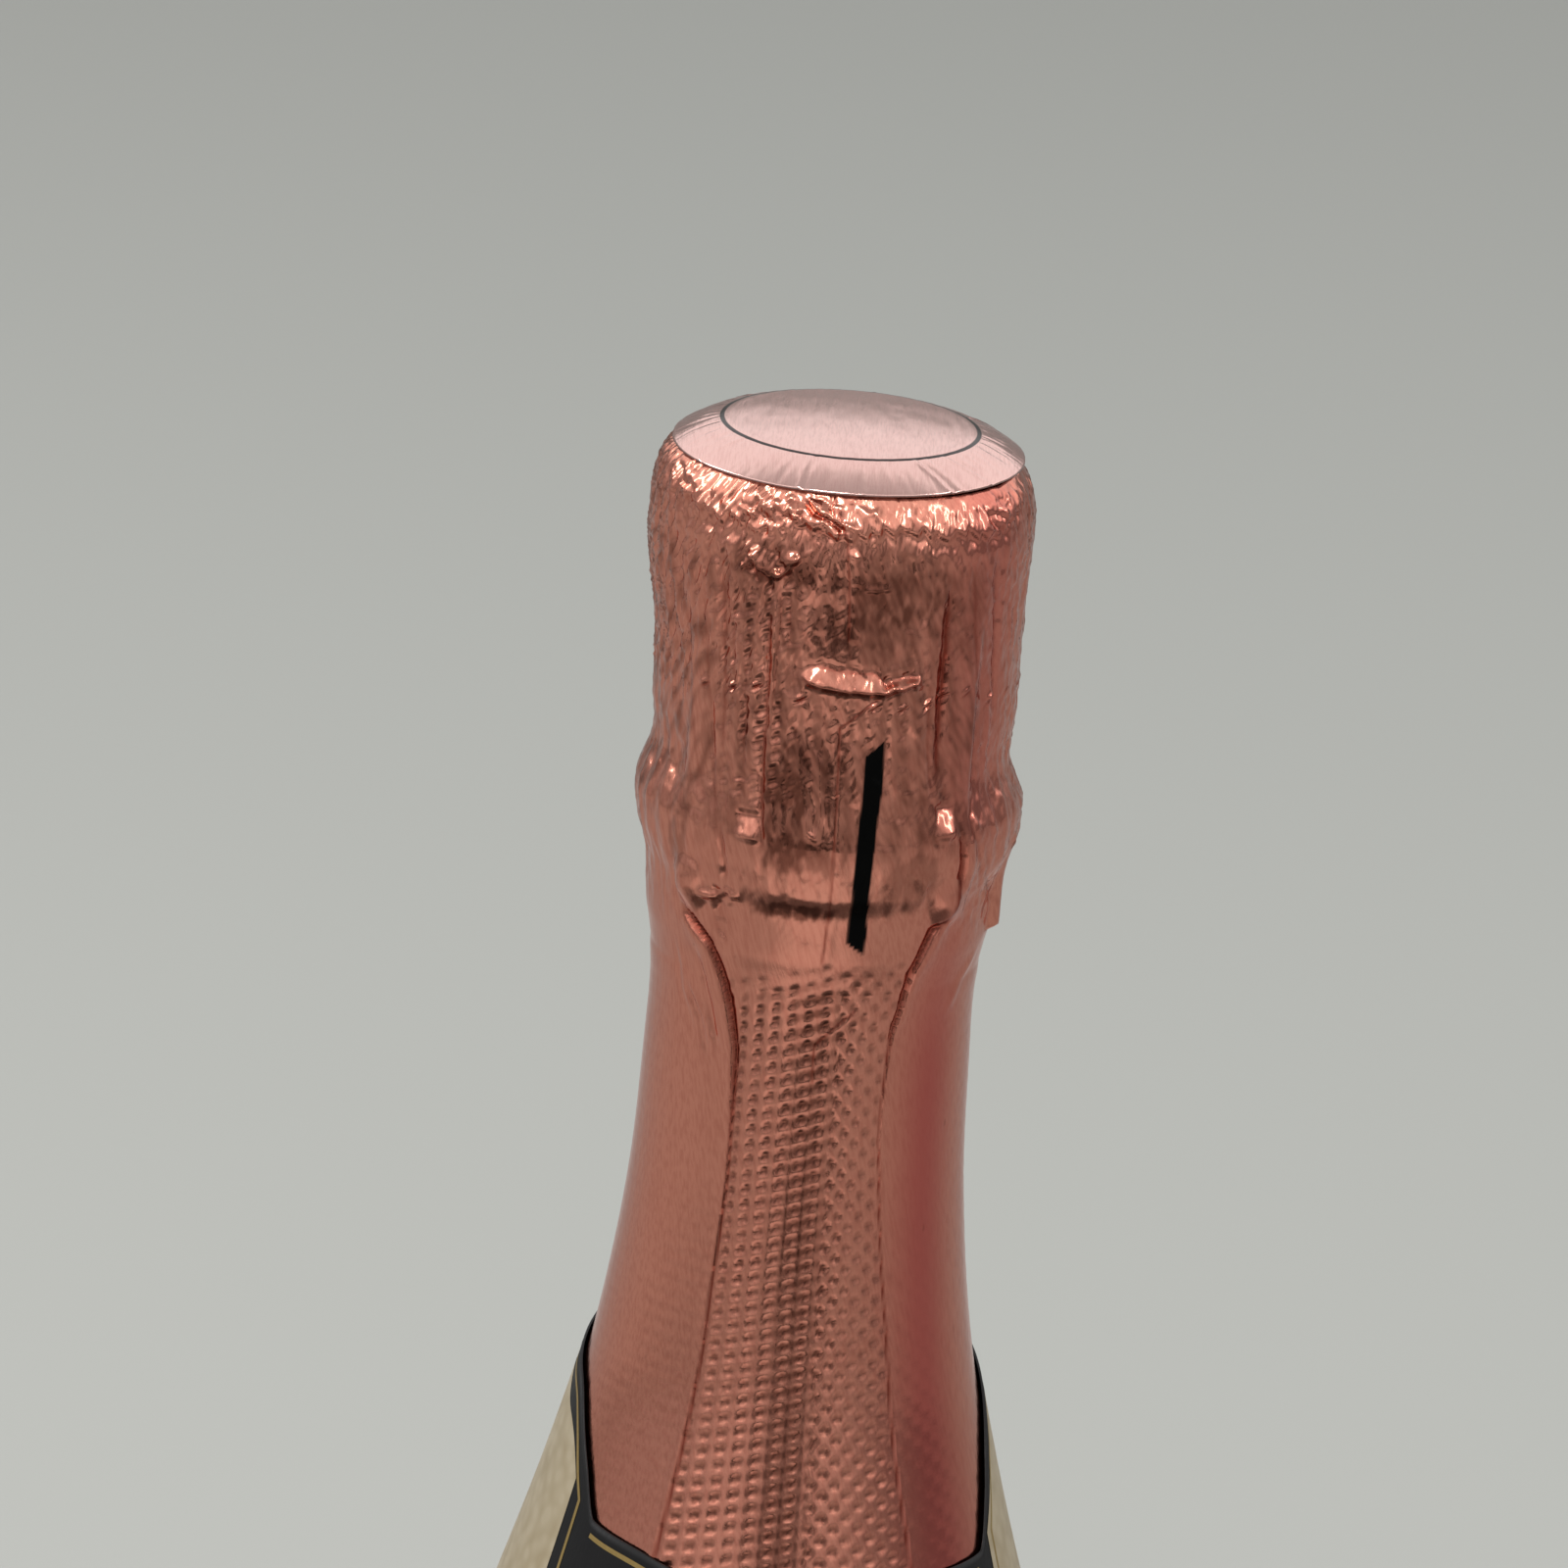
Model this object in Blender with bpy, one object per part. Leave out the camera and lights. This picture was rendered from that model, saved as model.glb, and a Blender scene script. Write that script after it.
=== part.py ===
"""Sparkling wine bottle, 75 cl, sealed: turned glass with wine, mushroom cork, wire cage and plaque,
foil hood with its top disc, foil skirt on the neck, neck label and two body labels.

Metres, +Z up. The origin is the middle of the ring that the bottle stands on.
The back of the bottle, where the foil's seam runs, faces -Y. The cage's wire loop hangs at +X.
"""

import math

import bmesh
import bpy
from mathutils import Vector

# Glass, outside
GLASS_HEIGHT = 0.300
BODY_RADIUS = 0.0443
BODY_TOP = 0.115
HEEL_HEIGHT = 0.008
STAND_OUTER_RADIUS = 0.0365
STAND_INNER_RADIUS = 0.030
PUNT_DEPTH = 0.030
NECK_RADIUS = 0.0135
NECK_LENGTH = 0.032
BEAD_PROUD = 0.0011
BEAD_HALF_HEIGHT = 0.0036
GROOVE_DEPTH = 0.0004
GROOVE_HEIGHT = 0.0028
LIP_PROUD = 0.0008
LIP_HEIGHT = 0.0058
LIP_UNDERCUT = 0.0006
LIP_ROUND = 0.0008

# Glass, inside
WALL = 0.0047
BASE_WALL = 0.007
TROUGH_HEIGHT = 0.009
TROUGH_WIDTH = 0.0045
BORE_WALL = 0.00475
BORE_LENGTH = 0.026
BORE_EASE = 0.012
FILL_DROP = 0.066

# Cork
CORK_CLEARANCE = 0.00015
CORK_DISC_HEIGHT = 0.0050
CORK_LENGTH_IN_BORE = 0.0250
CORK_HEAD_PROUD = 0.0002
CORK_HEAD_HEIGHT = 0.0175
CORK_THROAT_INSET = 0.0009
CORK_DOME_HEIGHT = 0.0019
CORK_SHOULDER_HEIGHT = 0.0035

# Wire cage and plaque
PLAQUE_INSET = 0.0013
PLAQUE_THICKNESS = 0.0003
PLAQUE_RIM_WIDTH = 0.0062
PLAQUE_BOSS_HEIGHT = 0.0003
RING_INSET = 0.0014
RING_WIRE_RADIUS = 0.00055
LEG_COUNT = 4
LEG_CLEARANCE = 0.00025
LEG_HALF_WIDTH = 0.00065
LEG_TWIST_PITCH = 0.009
LEG_STATION = 0.0015
BELT_WIRE_RADIUS = 0.00045
BELT_BELOW_BEAD = 0.0018
EYELET_WIRE_RADIUS = 0.00025
EYELET_PLAY = 0.0001
EYELET_CLEARANCE = 0.0002
LOOP_CLEARANCE = 0.0001
LOOP_STEM_HALF_WIDTH = 0.00048
LOOP_STEM_LENGTH = 0.0007
LOOP_EYE_HALF_WIDTH = 0.0022
LOOP_EYE_HALF_HEIGHT = 0.0017

# Foil
FOIL_THICKNESS = 0.0003
FOIL_GAP = 0.0003
SLACK_AT_BEAD = 0.0016
SLACK_AT_WAIST = 0.00045
SLACK_AT_LIP = 0.00095
SLACK_AT_HEAD = 0.0015
FOIL_FOLD_WIDTH = 0.0061
RIDGE_CLEARANCE = 0.0002
TEAR_GAP = 0.0003
SKIRT_TUCK = 0.0138
SKIRT_UNDER_LABEL = 0.0075
LOOP_POCKET_FADE = 0.002
TOP_DISC_OVERHANG = 0.0006
TOP_DISC_BEVEL_WIDTH = 0.0043
TOP_DISC_BEVEL_HEIGHT = 0.0012
TOP_DISC_CROWN_HEIGHT = 0.0004

# Labels
LABEL_THICKNESS = 0.00025
SEAT_GAP = 0.0003
NECK_LABEL_DROP = 0.102
NECK_LABEL_BAND_HEIGHT = 0.0235
NECK_LABEL_CORNER_RISE = 0.0035
NECK_LABEL_SIDE_RISE = 0.0105
NECK_LABEL_FRONT_RISE = 0.0190
FRONT_LABEL_WIDTH = 0.092
FRONT_LABEL_HEIGHT = 0.070
FRONT_LABEL_TOP_MARGIN = 0.001
BACK_LABEL_WIDTH = 0.058
BACK_LABEL_HEIGHT = 0.056
BACK_LABEL_TOP_MARGIN = 0.009

# How far two solids reach into each other before a union, and what counts as the same point
OVERLAP = 0.0002
MERGE = 0.000001

# Faces round each turned shape
GLASS_STEPS = 44
CORK_STEPS = 32
FOIL_STEPS = 40
WIRE_STEPS = 6
THIN_WIRE_STEPS = 5
EYE_STEPS = 20
EYELET_STEPS = 12

# Points along each curve or side
PUNT_POINTS = 8
HEEL_POINTS = 5
SHOULDER_POINTS = 13
BEAD_POINTS = 7
ROUND_POINTS = 3
INSIDE_POINTS = 9
TROUGH_POINTS = 5
DOME_POINTS = 6
CORK_SHOULDER_POINTS = 5
DISC_POINTS = 7
HOOD_SIDE_POINTS = 10
HOOD_TURN_POINTS = 5
TUCK_POINTS = 8
POCKET_POINTS = 3
LEAST_ROW_HEIGHT = 0.0003
SKIRT_POINTS = 7
NECK_LABEL_LEVEL_COUNT = 5
BODY_LABEL_LEVEL_COUNT = 2
BODY_LABEL_POINTS = 21

# Angles
QUARTER = 90.0
HALF_CIRCLE = 180.0
CORK_SHOULDER_TURN = 70.0
HOOD_SHOULDER_TURN = 78.0
LEG_RIDGE_TURN = math.radians(11.0)
BELT_BEND_TURN = math.radians(9.0)
LOOP_POCKET_FLAT_TURN = math.radians(16.0)
LOOP_POCKET_FADE_TURN = math.radians(16.0)
LABEL_CORNER_TURN = math.radians(47.5)
LABEL_CORNER_SPAN = math.radians(5.0)
LABEL_SIDE_TURN = math.radians(80.0)
CREASE = math.radians(35.0)

# Shoulder: share of the way down from the neck, share of the way out to the body
SHOULDER_SHARES = (
    (0.0, 0.0), (0.10, 0.019), (0.20, 0.082), (0.27, 0.163), (0.345, 0.268), (0.445, 0.425),
    (0.575, 0.646), (0.705, 0.828), (0.84, 0.945), (1.0, 1.0),
)
# Skirt under the bead: share of the way down the tuck, share of the slack that is left
TUCK_SHARES = (
    (0.0, 1.0), (0.19, 0.86), (0.36, 0.53), (0.50, 0.42), (0.75, 0.34), (0.88, 0.18), (1.0, 0.0),
)
LEG_TURN_SHARE = 1.0 / LEG_COUNT
FIRST_LEG_TURN_SHARE = LEG_TURN_SHARE / 2.0
STRAND_WAIST_SHARE = 0.62
CORK_THROAT_SHARE = 0.32
CORK_CROWN_SHARE = 0.5
LEG_BEND_SHARE = 0.45
LEG_KNEE_SHARE = 0.14
LEG_REACH_SHARE = 0.18
# Hood: heights of its head and lip as shares of the cork's head, and of its waist as one of the lip
HOOD_HEAD_SHARE = 0.62
HOOD_LIP_TOP_SHARE = 0.08
HOOD_LIP_LOW_SHARE = 0.6
HOOD_TURN_SHARE = 0.42
HOOD_FOLD_SHARE = 0.35
LABEL_STEP_MIDDLE_SHARE = 0.5
PLAQUE_FALL_POWER = 3.0
DISC_BEVEL_POWER = 1.6

# Radii that follow from the sizes above
BEAD_RADIUS = NECK_RADIUS + BEAD_PROUD
GROOVE_RADIUS = NECK_RADIUS - GROOVE_DEPTH
LIP_RADIUS = NECK_RADIUS + LIP_PROUD
BORE_RADIUS = NECK_RADIUS - BORE_WALL
CORK_HEAD_RADIUS = LIP_RADIUS + CORK_HEAD_PROUD
CORK_THROAT_RADIUS = CORK_HEAD_RADIUS - CORK_THROAT_INSET
PLAQUE_RADIUS = CORK_HEAD_RADIUS - PLAQUE_INSET
PLAQUE_BOSS_RADIUS = PLAQUE_RADIUS - PLAQUE_RIM_WIDTH
RING_RADIUS = PLAQUE_RADIUS - RING_INSET
LEG_RADIUS = max(BEAD_RADIUS, CORK_HEAD_RADIUS) + LEG_CLEARANCE + LEG_HALF_WIDTH
BELT_RADIUS = NECK_RADIUS + SEAT_GAP + BELT_WIRE_RADIUS
EYELET_RADIUS = BELT_WIRE_RADIUS + EYELET_PLAY + EYELET_WIRE_RADIUS
EYELET_CENTRE_RADIUS = BEAD_RADIUS + EYELET_CLEARANCE + EYELET_WIRE_RADIUS + EYELET_RADIUS
LOOP_PLANE_RADIUS = BEAD_RADIUS + LOOP_CLEARANCE + BELT_WIRE_RADIUS
TOP_DISC_RADIUS = CORK_HEAD_RADIUS + TOP_DISC_OVERHANG
TOP_DISC_FLAT_RADIUS = TOP_DISC_RADIUS - TOP_DISC_BEVEL_WIDTH
FOIL_FOLD_RADIUS = TOP_DISC_RADIUS - FOIL_FOLD_WIDTH

# Heights that follow from the sizes above
NECK_BOTTOM = GLASS_HEIGHT - NECK_LENGTH
LIP_BOTTOM = GLASS_HEIGHT - LIP_HEIGHT
BEAD_TOP = LIP_BOTTOM - GROOVE_HEIGHT
BEAD_HEIGHT = BEAD_TOP - BEAD_HALF_HEIGHT
BEAD_BOTTOM = BEAD_HEIGHT - BEAD_HALF_HEIGHT
BORE_BOTTOM = GLASS_HEIGHT - BORE_LENGTH
FILL_HEIGHT = GLASS_HEIGHT - FILL_DROP
CORK_BOTTOM = GLASS_HEIGHT - CORK_LENGTH_IN_BORE
CORK_TOP = GLASS_HEIGHT + SEAT_GAP + CORK_HEAD_HEIGHT
CORK_EDGE_HEIGHT = CORK_TOP - CORK_DOME_HEIGHT
SHOULDER_HEIGHT = CORK_EDGE_HEIGHT - CORK_SHOULDER_HEIGHT
BELT_HEIGHT = BEAD_BOTTOM - BELT_BELOW_BEAD
TEAR_HEIGHT = BEAD_HEIGHT - TEAR_GAP / 2.0
HOOD_BOTTOM = TEAR_HEIGHT + TEAR_GAP / 2.0
SKIRT_TOP = TEAR_HEIGHT - TEAR_GAP / 2.0
NECK_LABEL_BOTTOM = GLASS_HEIGHT - NECK_LABEL_DROP
NECK_LABEL_BAND_TOP = NECK_LABEL_BOTTOM + NECK_LABEL_BAND_HEIGHT
SKIRT_BOTTOM = NECK_LABEL_BAND_TOP - SKIRT_UNDER_LABEL
FRONT_LABEL_BOTTOM = BODY_TOP - FRONT_LABEL_TOP_MARGIN - FRONT_LABEL_HEIGHT
BACK_LABEL_BOTTOM = BODY_TOP - BACK_LABEL_TOP_MARGIN - BACK_LABEL_HEIGHT


def clear_scene():
    for thing in list(bpy.data.objects):
        bpy.data.objects.remove(thing, do_unlink=True)


def finish(name, colour, roughness, metallic=0.0, transmission=0.0):
    """A Principled material with the piece's colour and gloss."""
    material = bpy.data.materials.new(name)
    material.use_nodes = True
    shader = material.node_tree.nodes["Principled BSDF"]
    shader.inputs["Base Color"].default_value = (*colour, 1.0)
    shader.inputs["Roughness"].default_value = roughness
    shader.inputs["Metallic"].default_value = metallic
    shader.inputs["Transmission Weight"].default_value = transmission
    return material


def add_piece(name, shape, material, crease=CREASE):
    """Make one named object from a bmesh, with outward faces and smooth round sides."""
    bmesh.ops.remove_doubles(shape, verts=shape.verts, dist=MERGE)
    bmesh.ops.recalc_face_normals(shape, faces=shape.faces)
    mesh = bpy.data.meshes.new(name)
    shape.to_mesh(mesh)
    shape.free()
    mesh.shade_smooth()
    mesh.set_sharp_from_angle(angle=crease)
    mesh.materials.append(material)
    piece = bpy.data.objects.new(name, mesh)
    bpy.context.scene.collection.objects.link(piece)
    return piece


def smooth_value(table, share):
    """Read a curve that runs smoothly through the table's points."""
    for n in range(len(table) - 1):
        x0, y0 = table[n]
        x1, y1 = table[n + 1]
        if share <= x1 or n == len(table) - 2:
            xa, ya = table[max(n - 1, 0)]
            xb, yb = table[min(n + 2, len(table) - 1)]
            slope0 = (y1 - ya) / (x1 - xa)
            slope1 = (yb - y0) / (xb - x0)
            t = (share - x0) / (x1 - x0)
            h = x1 - x0
            return (
                (2 * t**3 - 3 * t**2 + 1) * y0 + (t**3 - 2 * t**2 + t) * h * slope0
                + (3 * t**2 - 2 * t**3) * y1 + (t**3 - t**2) * h * slope1
            )
    return table[-1][1]


def spread(low, high, count):
    """Evenly spaced values from low to high, both included."""
    return [low + (high - low) * n / (count - 1) for n in range(count)]


def ease(share):
    """Smooth step from 0 to 1."""
    share = min(max(share, 0.0), 1.0)
    return share * share * (3.0 - 2.0 * share)


def arc(centre, radii, start, end, count):
    """Points of an elliptical arc in the (radius, height) plane, angles in degrees."""
    return [
        (centre[0] + radii[0] * math.cos(math.radians(a)), centre[1] + radii[1] * math.sin(math.radians(a)))
        for a in spread(start, end, count)
    ]


def spun(name, outline, steps, material, closed=False, bulge=None):
    """Turn an outline of (radius, height) points about Z. bulge adds to a radius by angle and height."""
    shape = bmesh.new()
    verts = [shape.verts.new((r, 0.0, z)) for r, z in outline]
    edges = [shape.edges.new(pair) for pair in zip(verts, verts[1:])]
    if closed:
        edges.append(shape.edges.new((verts[-1], verts[0])))
    bmesh.ops.spin(
        shape, geom=verts + edges, cent=(0.0, 0.0, 0.0), axis=(0.0, 0.0, 1.0),
        angle=math.tau, steps=steps, use_merge=True,
    )
    bmesh.ops.remove_doubles(shape, verts=shape.verts, dist=MERGE)
    if bulge:
        for v in shape.verts:
            radius = math.hypot(v.co.x, v.co.y)
            grown = radius + bulge(math.atan2(v.co.y, v.co.x), v.co.z)
            v.co.x *= grown / radius
            v.co.y *= grown / radius
    return add_piece(name, shape, material)


def swept(path, section_of, sides, closed=False):
    """Carry a section along a path. section_of gives the (side, up) points at a station number."""
    shape = bmesh.new()
    count = len(path)
    rings = []
    up = None
    for n, here in enumerate(path):
        before = path[n - 1] if n or closed else here
        after = path[(n + 1) % count] if n < count - 1 or closed else here
        along = (after - before).normalized()
        if up is None:
            up = along.orthogonal().normalized()
        up = (up - along * up.dot(along)).normalized()
        side = along.cross(up)
        rings.append([shape.verts.new(here + side * a + up * b) for a, b in section_of(n)])
    pairs = list(zip(rings, rings[1:]))
    if closed:
        pairs.append((rings[-1], rings[0]))
    for one, two in pairs:
        for k in range(sides):
            shape.faces.new((one[k], one[(k + 1) % sides], two[(k + 1) % sides], two[k]))
    if not closed:
        shape.faces.new(rings[0])
        shape.faces.new(list(reversed(rings[-1])))
    return shape


def round_section(radius, sides):
    """The same circle at every station."""
    angles = [math.tau * k / sides for k in range(sides)]
    ring = [(radius * math.cos(a), radius * math.sin(a)) for a in angles]
    return lambda station: ring


def twisted_section(half_width, pitch, station_length, sides):
    """Two strands side by side, turning about each other along the path."""

    def section(station):
        turn = math.tau * station * station_length / pitch
        points = []
        for k in range(sides):
            a = math.tau * k / sides
            r = half_width * (STRAND_WAIST_SHARE + (1.0 - STRAND_WAIST_SHARE) * math.cos(a) ** 2)
            points.append((r * math.cos(a + turn), r * math.sin(a + turn)))
        return points

    return section


def even_stations(points, spacing):
    """Points a spacing apart along a run of straight lines, the last point included."""
    lengths = [(b - a).length for a, b in zip(points, points[1:])]
    count = max(round(sum(lengths) / spacing), 1)
    out = []
    for n in range(count + 1):
        left = sum(lengths) * n / count
        for a, b, length in zip(points, points[1:], lengths):
            if left <= length or b is points[-1]:
                out.append(a.lerp(b, min(left / length, 1.0)))
                break
            left -= length
    return out


def united(name, shapes, material):
    """Boolean union of several closed shapes into one named solid."""
    pieces = [add_piece(name + f"_part_{n}", shape, material) for n, shape in enumerate(shapes)]
    keeper = pieces[0]
    for other in pieces[1:]:
        joint = keeper.modifiers.new("union", "BOOLEAN")
        joint.operation = "UNION"
        joint.solver = "EXACT"
        joint.object = other
    bpy.context.view_layer.update()
    seen = keeper.evaluated_get(bpy.context.evaluated_depsgraph_get())
    mesh = bpy.data.meshes.new_from_object(seen)
    for piece in pieces:
        bpy.data.objects.remove(piece, do_unlink=True)
    mesh.name = name
    result = bpy.data.objects.new(name, mesh)
    bpy.context.scene.collection.objects.link(result)
    return result


def outer_radius(height):
    """Outside of the glass between the stand and the bead."""
    if height >= NECK_BOTTOM:
        return NECK_RADIUS
    if height <= BODY_TOP:
        return BODY_RADIUS
    share = (NECK_BOTTOM - height) / (NECK_BOTTOM - BODY_TOP)
    return NECK_RADIUS + (BODY_RADIUS - NECK_RADIUS) * smooth_value(SHOULDER_SHARES, share)


def inside_levels():
    """Heights of the inside's points, which glass and wine share."""
    return spread(BORE_BOTTOM - BORE_EASE, BODY_TOP, INSIDE_POINTS)


def glass_outline():
    """Closed by the axis: up the punt, over the outside, down the bore and along the inside."""
    punt = arc((0.0, 0.0), (STAND_INNER_RADIUS, PUNT_DEPTH), QUARTER, 0.0, PUNT_POINTS)
    heel = arc(
        (STAND_OUTER_RADIUS, HEEL_HEIGHT), (BODY_RADIUS - STAND_OUTER_RADIUS, HEEL_HEIGHT),
        -QUARTER, 0.0, HEEL_POINTS,
    )
    shoulder = [(outer_radius(z), z) for z in spread(BODY_TOP, NECK_BOTTOM, SHOULDER_POINTS)]
    bead = arc(
        (NECK_RADIUS, BEAD_HEIGHT), (BEAD_RADIUS - NECK_RADIUS, BEAD_HALF_HEIGHT),
        -QUARTER, QUARTER, BEAD_POINTS,
    )
    lip = [
        (GROOVE_RADIUS, BEAD_TOP + LIP_UNDERCUT),
        (GROOVE_RADIUS, LIP_BOTTOM - LIP_UNDERCUT),
        (LIP_RADIUS, LIP_BOTTOM),
    ]
    rounding = (LIP_ROUND, LIP_ROUND)
    level = GLASS_HEIGHT - LIP_ROUND
    lip += arc((LIP_RADIUS - LIP_ROUND, level), rounding, 0.0, QUARTER, ROUND_POINTS)
    lip += arc((BORE_RADIUS + LIP_ROUND, level), rounding, QUARTER, HALF_CIRCLE, ROUND_POINTS)
    bore = [(BORE_RADIUS, BORE_BOTTOM)]
    inside = [(outer_radius(z) - WALL, z) for z in inside_levels()]
    return punt + heel + shoulder + bead + lip + bore + inside + inner_base(0.0)


def inner_base(gap):
    """The inside of the base, down the wall, round the trough and up over the punt, drawn in by a gap."""
    half = TROUGH_WIDTH / 2.0
    centre = (BODY_RADIUS - WALL - half, TROUGH_HEIGHT + half)
    trough = arc(centre, (half - gap, half - gap), 0.0, -HALF_CIRCLE, TROUGH_POINTS)
    dome = arc(
        (0.0, centre[1]), (centre[0] - half + gap, PUNT_DEPTH + BASE_WALL + gap - centre[1]),
        0.0, QUARTER, DOME_POINTS,
    )
    return trough + dome[1:]


def make_glass(material):
    spun("glass_bottle", glass_outline(), GLASS_STEPS, material)


def make_wine(material):
    """The wine fills the glass to the fill line, a small gap off the wall."""
    gap = SEAT_GAP
    top = [(0.0, FILL_HEIGHT)]
    levels = [FILL_HEIGHT] + [z for z in inside_levels() if z < FILL_HEIGHT]
    side = [(outer_radius(z) - WALL - gap, z) for z in levels]
    spun("wine", top + side + inner_base(gap), CORK_STEPS, material)


def make_cork(body_material, disc_material):
    """Agglomerated body with a mushroom head over two natural discs."""
    radius = BORE_RADIUS - CORK_CLEARANCE
    seat = GLASS_HEIGHT + SEAT_GAP
    low = CORK_BOTTOM + 2.0 * (CORK_DISC_HEIGHT + SEAT_GAP)
    shoulder = arc(
        (CORK_HEAD_RADIUS - CORK_SHOULDER_HEIGHT, SHOULDER_HEIGHT),
        (CORK_SHOULDER_HEIGHT, CORK_SHOULDER_HEIGHT), 0.0, CORK_SHOULDER_TURN, CORK_SHOULDER_POINTS,
    )
    body = [
        (0.0, low),
        (radius, low),
        (radius, seat - LIP_ROUND),
        (radius + LIP_ROUND / 2.0, seat),
        (CORK_THROAT_RADIUS, seat),
        (CORK_HEAD_RADIUS, seat + CORK_HEAD_HEIGHT * CORK_THROAT_SHARE),
    ]
    crown = [
        (shoulder[-1][0] * CORK_CROWN_SHARE, CORK_TOP - CORK_DOME_HEIGHT * CORK_CROWN_SHARE**2),
        (0.0, CORK_TOP),
    ]
    spun("cork_body", body + shoulder + crown, CORK_STEPS, body_material)
    for name, level in (("cork_disc_upper", 1), ("cork_disc_lower", 0)):
        bottom = CORK_BOTTOM + level * (CORK_DISC_HEIGHT + SEAT_GAP)
        rim = bottom + CORK_DISC_HEIGHT
        outline = [(0.0, bottom), (radius, bottom), (radius, rim), (0.0, rim)]
        spun(name, outline, CORK_STEPS, disc_material)


def plaque_height(radius):
    """Underside of the plaque, which follows the cork's crown and turns down at its rim."""
    share = radius / PLAQUE_RADIUS
    fall = ease((radius - PLAQUE_BOSS_RADIUS) / (PLAQUE_RADIUS - PLAQUE_BOSS_RADIUS))
    return CORK_TOP + SEAT_GAP - PLAQUE_BOSS_HEIGHT * fall - CORK_DOME_HEIGHT * share**PLAQUE_FALL_POWER


def make_plaque(material):
    radii = spread(0.0, PLAQUE_RADIUS, DISC_POINTS)
    low = [(r, plaque_height(r)) for r in radii]
    high = [(r, plaque_height(r) + PLAQUE_THICKNESS) for r in reversed(radii)]
    spun("plaque", low + high, CORK_STEPS, material)


def ring_height():
    """The ring lies on the plaque near its rim."""
    return plaque_height(RING_RADIUS) + PLAQUE_THICKNESS + SEAT_GAP + RING_WIRE_RADIUS


def fold_top():
    """Top of the foil where it is folded in over the ring."""
    return ring_height() + RING_WIRE_RADIUS + RIDGE_CLEARANCE + FOIL_THICKNESS


def ring_path(radius_of, height, count):
    """A closed path round Z whose radius may change with the angle."""
    angles = [math.tau * n / count for n in range(count)]
    return [Vector((radius_of(a) * math.cos(a), radius_of(a) * math.sin(a), height)) for a in angles]


def turn_between(angle, centre):
    """Smallest turn between two directions, in radians."""
    return abs((angle - centre + math.pi) % math.tau - math.pi)


def bump(turn, half_turn):
    """1 at no turn, falling away like a bell."""
    return math.exp(-((turn / half_turn) ** 2) / 2.0)


def leg_angles():
    return [math.tau * (FIRST_LEG_TURN_SHARE + n * LEG_TURN_SHARE) for n in range(LEG_COUNT)]


def leg_bump(angle, half_turn=LEG_RIDGE_TURN):
    """1 at each leg, falling away on both sides."""
    return max(bump(turn_between(angle, leg), half_turn) for leg in leg_angles())


def loop_bump(angle):
    """1 across the wire loop, falling away on both sides."""
    return 1.0 - ease((turn_between(angle, 0.0) - LOOP_POCKET_FLAT_TURN) / LOOP_POCKET_FADE_TURN)


def make_cage_ring(material):
    shape = swept(
        ring_path(lambda angle: RING_RADIUS, ring_height(), CORK_STEPS),
        round_section(RING_WIRE_RADIUS, WIRE_STEPS), WIRE_STEPS, closed=True,
    )
    add_piece("cage_ring", shape, material)


def leg_path():
    """Out from the ring, over the cork's shoulder and down to the eyelet."""
    start = RING_RADIUS + RING_WIRE_RADIUS + SEAT_GAP
    top = fold_top() - FOIL_THICKNESS - RIDGE_CLEARANCE - LEG_HALF_WIDTH
    reach = LEG_RADIUS - start
    fall = top - SHOULDER_HEIGHT
    points = [
        Vector((start, 0.0, top)),
        Vector((start + reach * LEG_BEND_SHARE, 0.0, top - fall * LEG_KNEE_SHARE)),
        Vector((LEG_RADIUS - reach * LEG_REACH_SHARE, 0.0, top - fall * LEG_BEND_SHARE)),
        Vector((LEG_RADIUS, 0.0, SHOULDER_HEIGHT)),
        Vector((LEG_RADIUS, 0.0, BEAD_BOTTOM)),
        Vector((EYELET_CENTRE_RADIUS, 0.0, BELT_HEIGHT + EYELET_RADIUS + EYELET_WIRE_RADIUS - OVERLAP)),
    ]
    return even_stations(points, LEG_STATION)


def make_cage_legs(material):
    """Four twisted legs, each with an eyelet that the belt wire runs through."""
    bar = swept(
        leg_path(), twisted_section(LEG_HALF_WIDTH, LEG_TWIST_PITCH, LEG_STATION, WIRE_STEPS), WIRE_STEPS
    )
    centre = Vector((EYELET_CENTRE_RADIUS, 0.0, BELT_HEIGHT))
    turns = [math.tau * n / EYELET_STEPS for n in range(EYELET_STEPS)]
    around = [centre + EYELET_RADIUS * Vector((math.cos(a), 0.0, math.sin(a))) for a in turns]
    section = round_section(EYELET_WIRE_RADIUS, THIN_WIRE_STEPS)
    eyelet = swept(around, section, THIN_WIRE_STEPS, closed=True)
    first = united("cage_leg_1", [bar, eyelet], material)
    for n, angle in enumerate(leg_angles(), start=1):
        leg = first
        if n > 1:
            leg = bpy.data.objects.new(f"cage_leg_{n}", first.data)
            bpy.context.scene.collection.objects.link(leg)
        leg.rotation_euler = (0.0, 0.0, angle)


def belt_radius(angle):
    """The belt is drawn in under the bead between the legs and comes out to each eyelet and to the loop."""
    to_leg = (EYELET_CENTRE_RADIUS - BELT_RADIUS) * leg_bump(angle, BELT_BEND_TURN)
    to_loop = (LOOP_PLANE_RADIUS - BELT_RADIUS) * bump(turn_between(angle, 0.0), BELT_BEND_TURN)
    return BELT_RADIUS + max(to_leg, to_loop)


def make_cage_belt(material):
    shape = swept(
        ring_path(belt_radius, BELT_HEIGHT, FOIL_STEPS),
        round_section(BELT_WIRE_RADIUS, THIN_WIRE_STEPS), THIN_WIRE_STEPS, closed=True,
    )
    add_piece("cage_belt", shape, material)


def loop_stem_top():
    return BELT_HEIGHT - BELT_WIRE_RADIUS - SEAT_GAP


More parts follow.
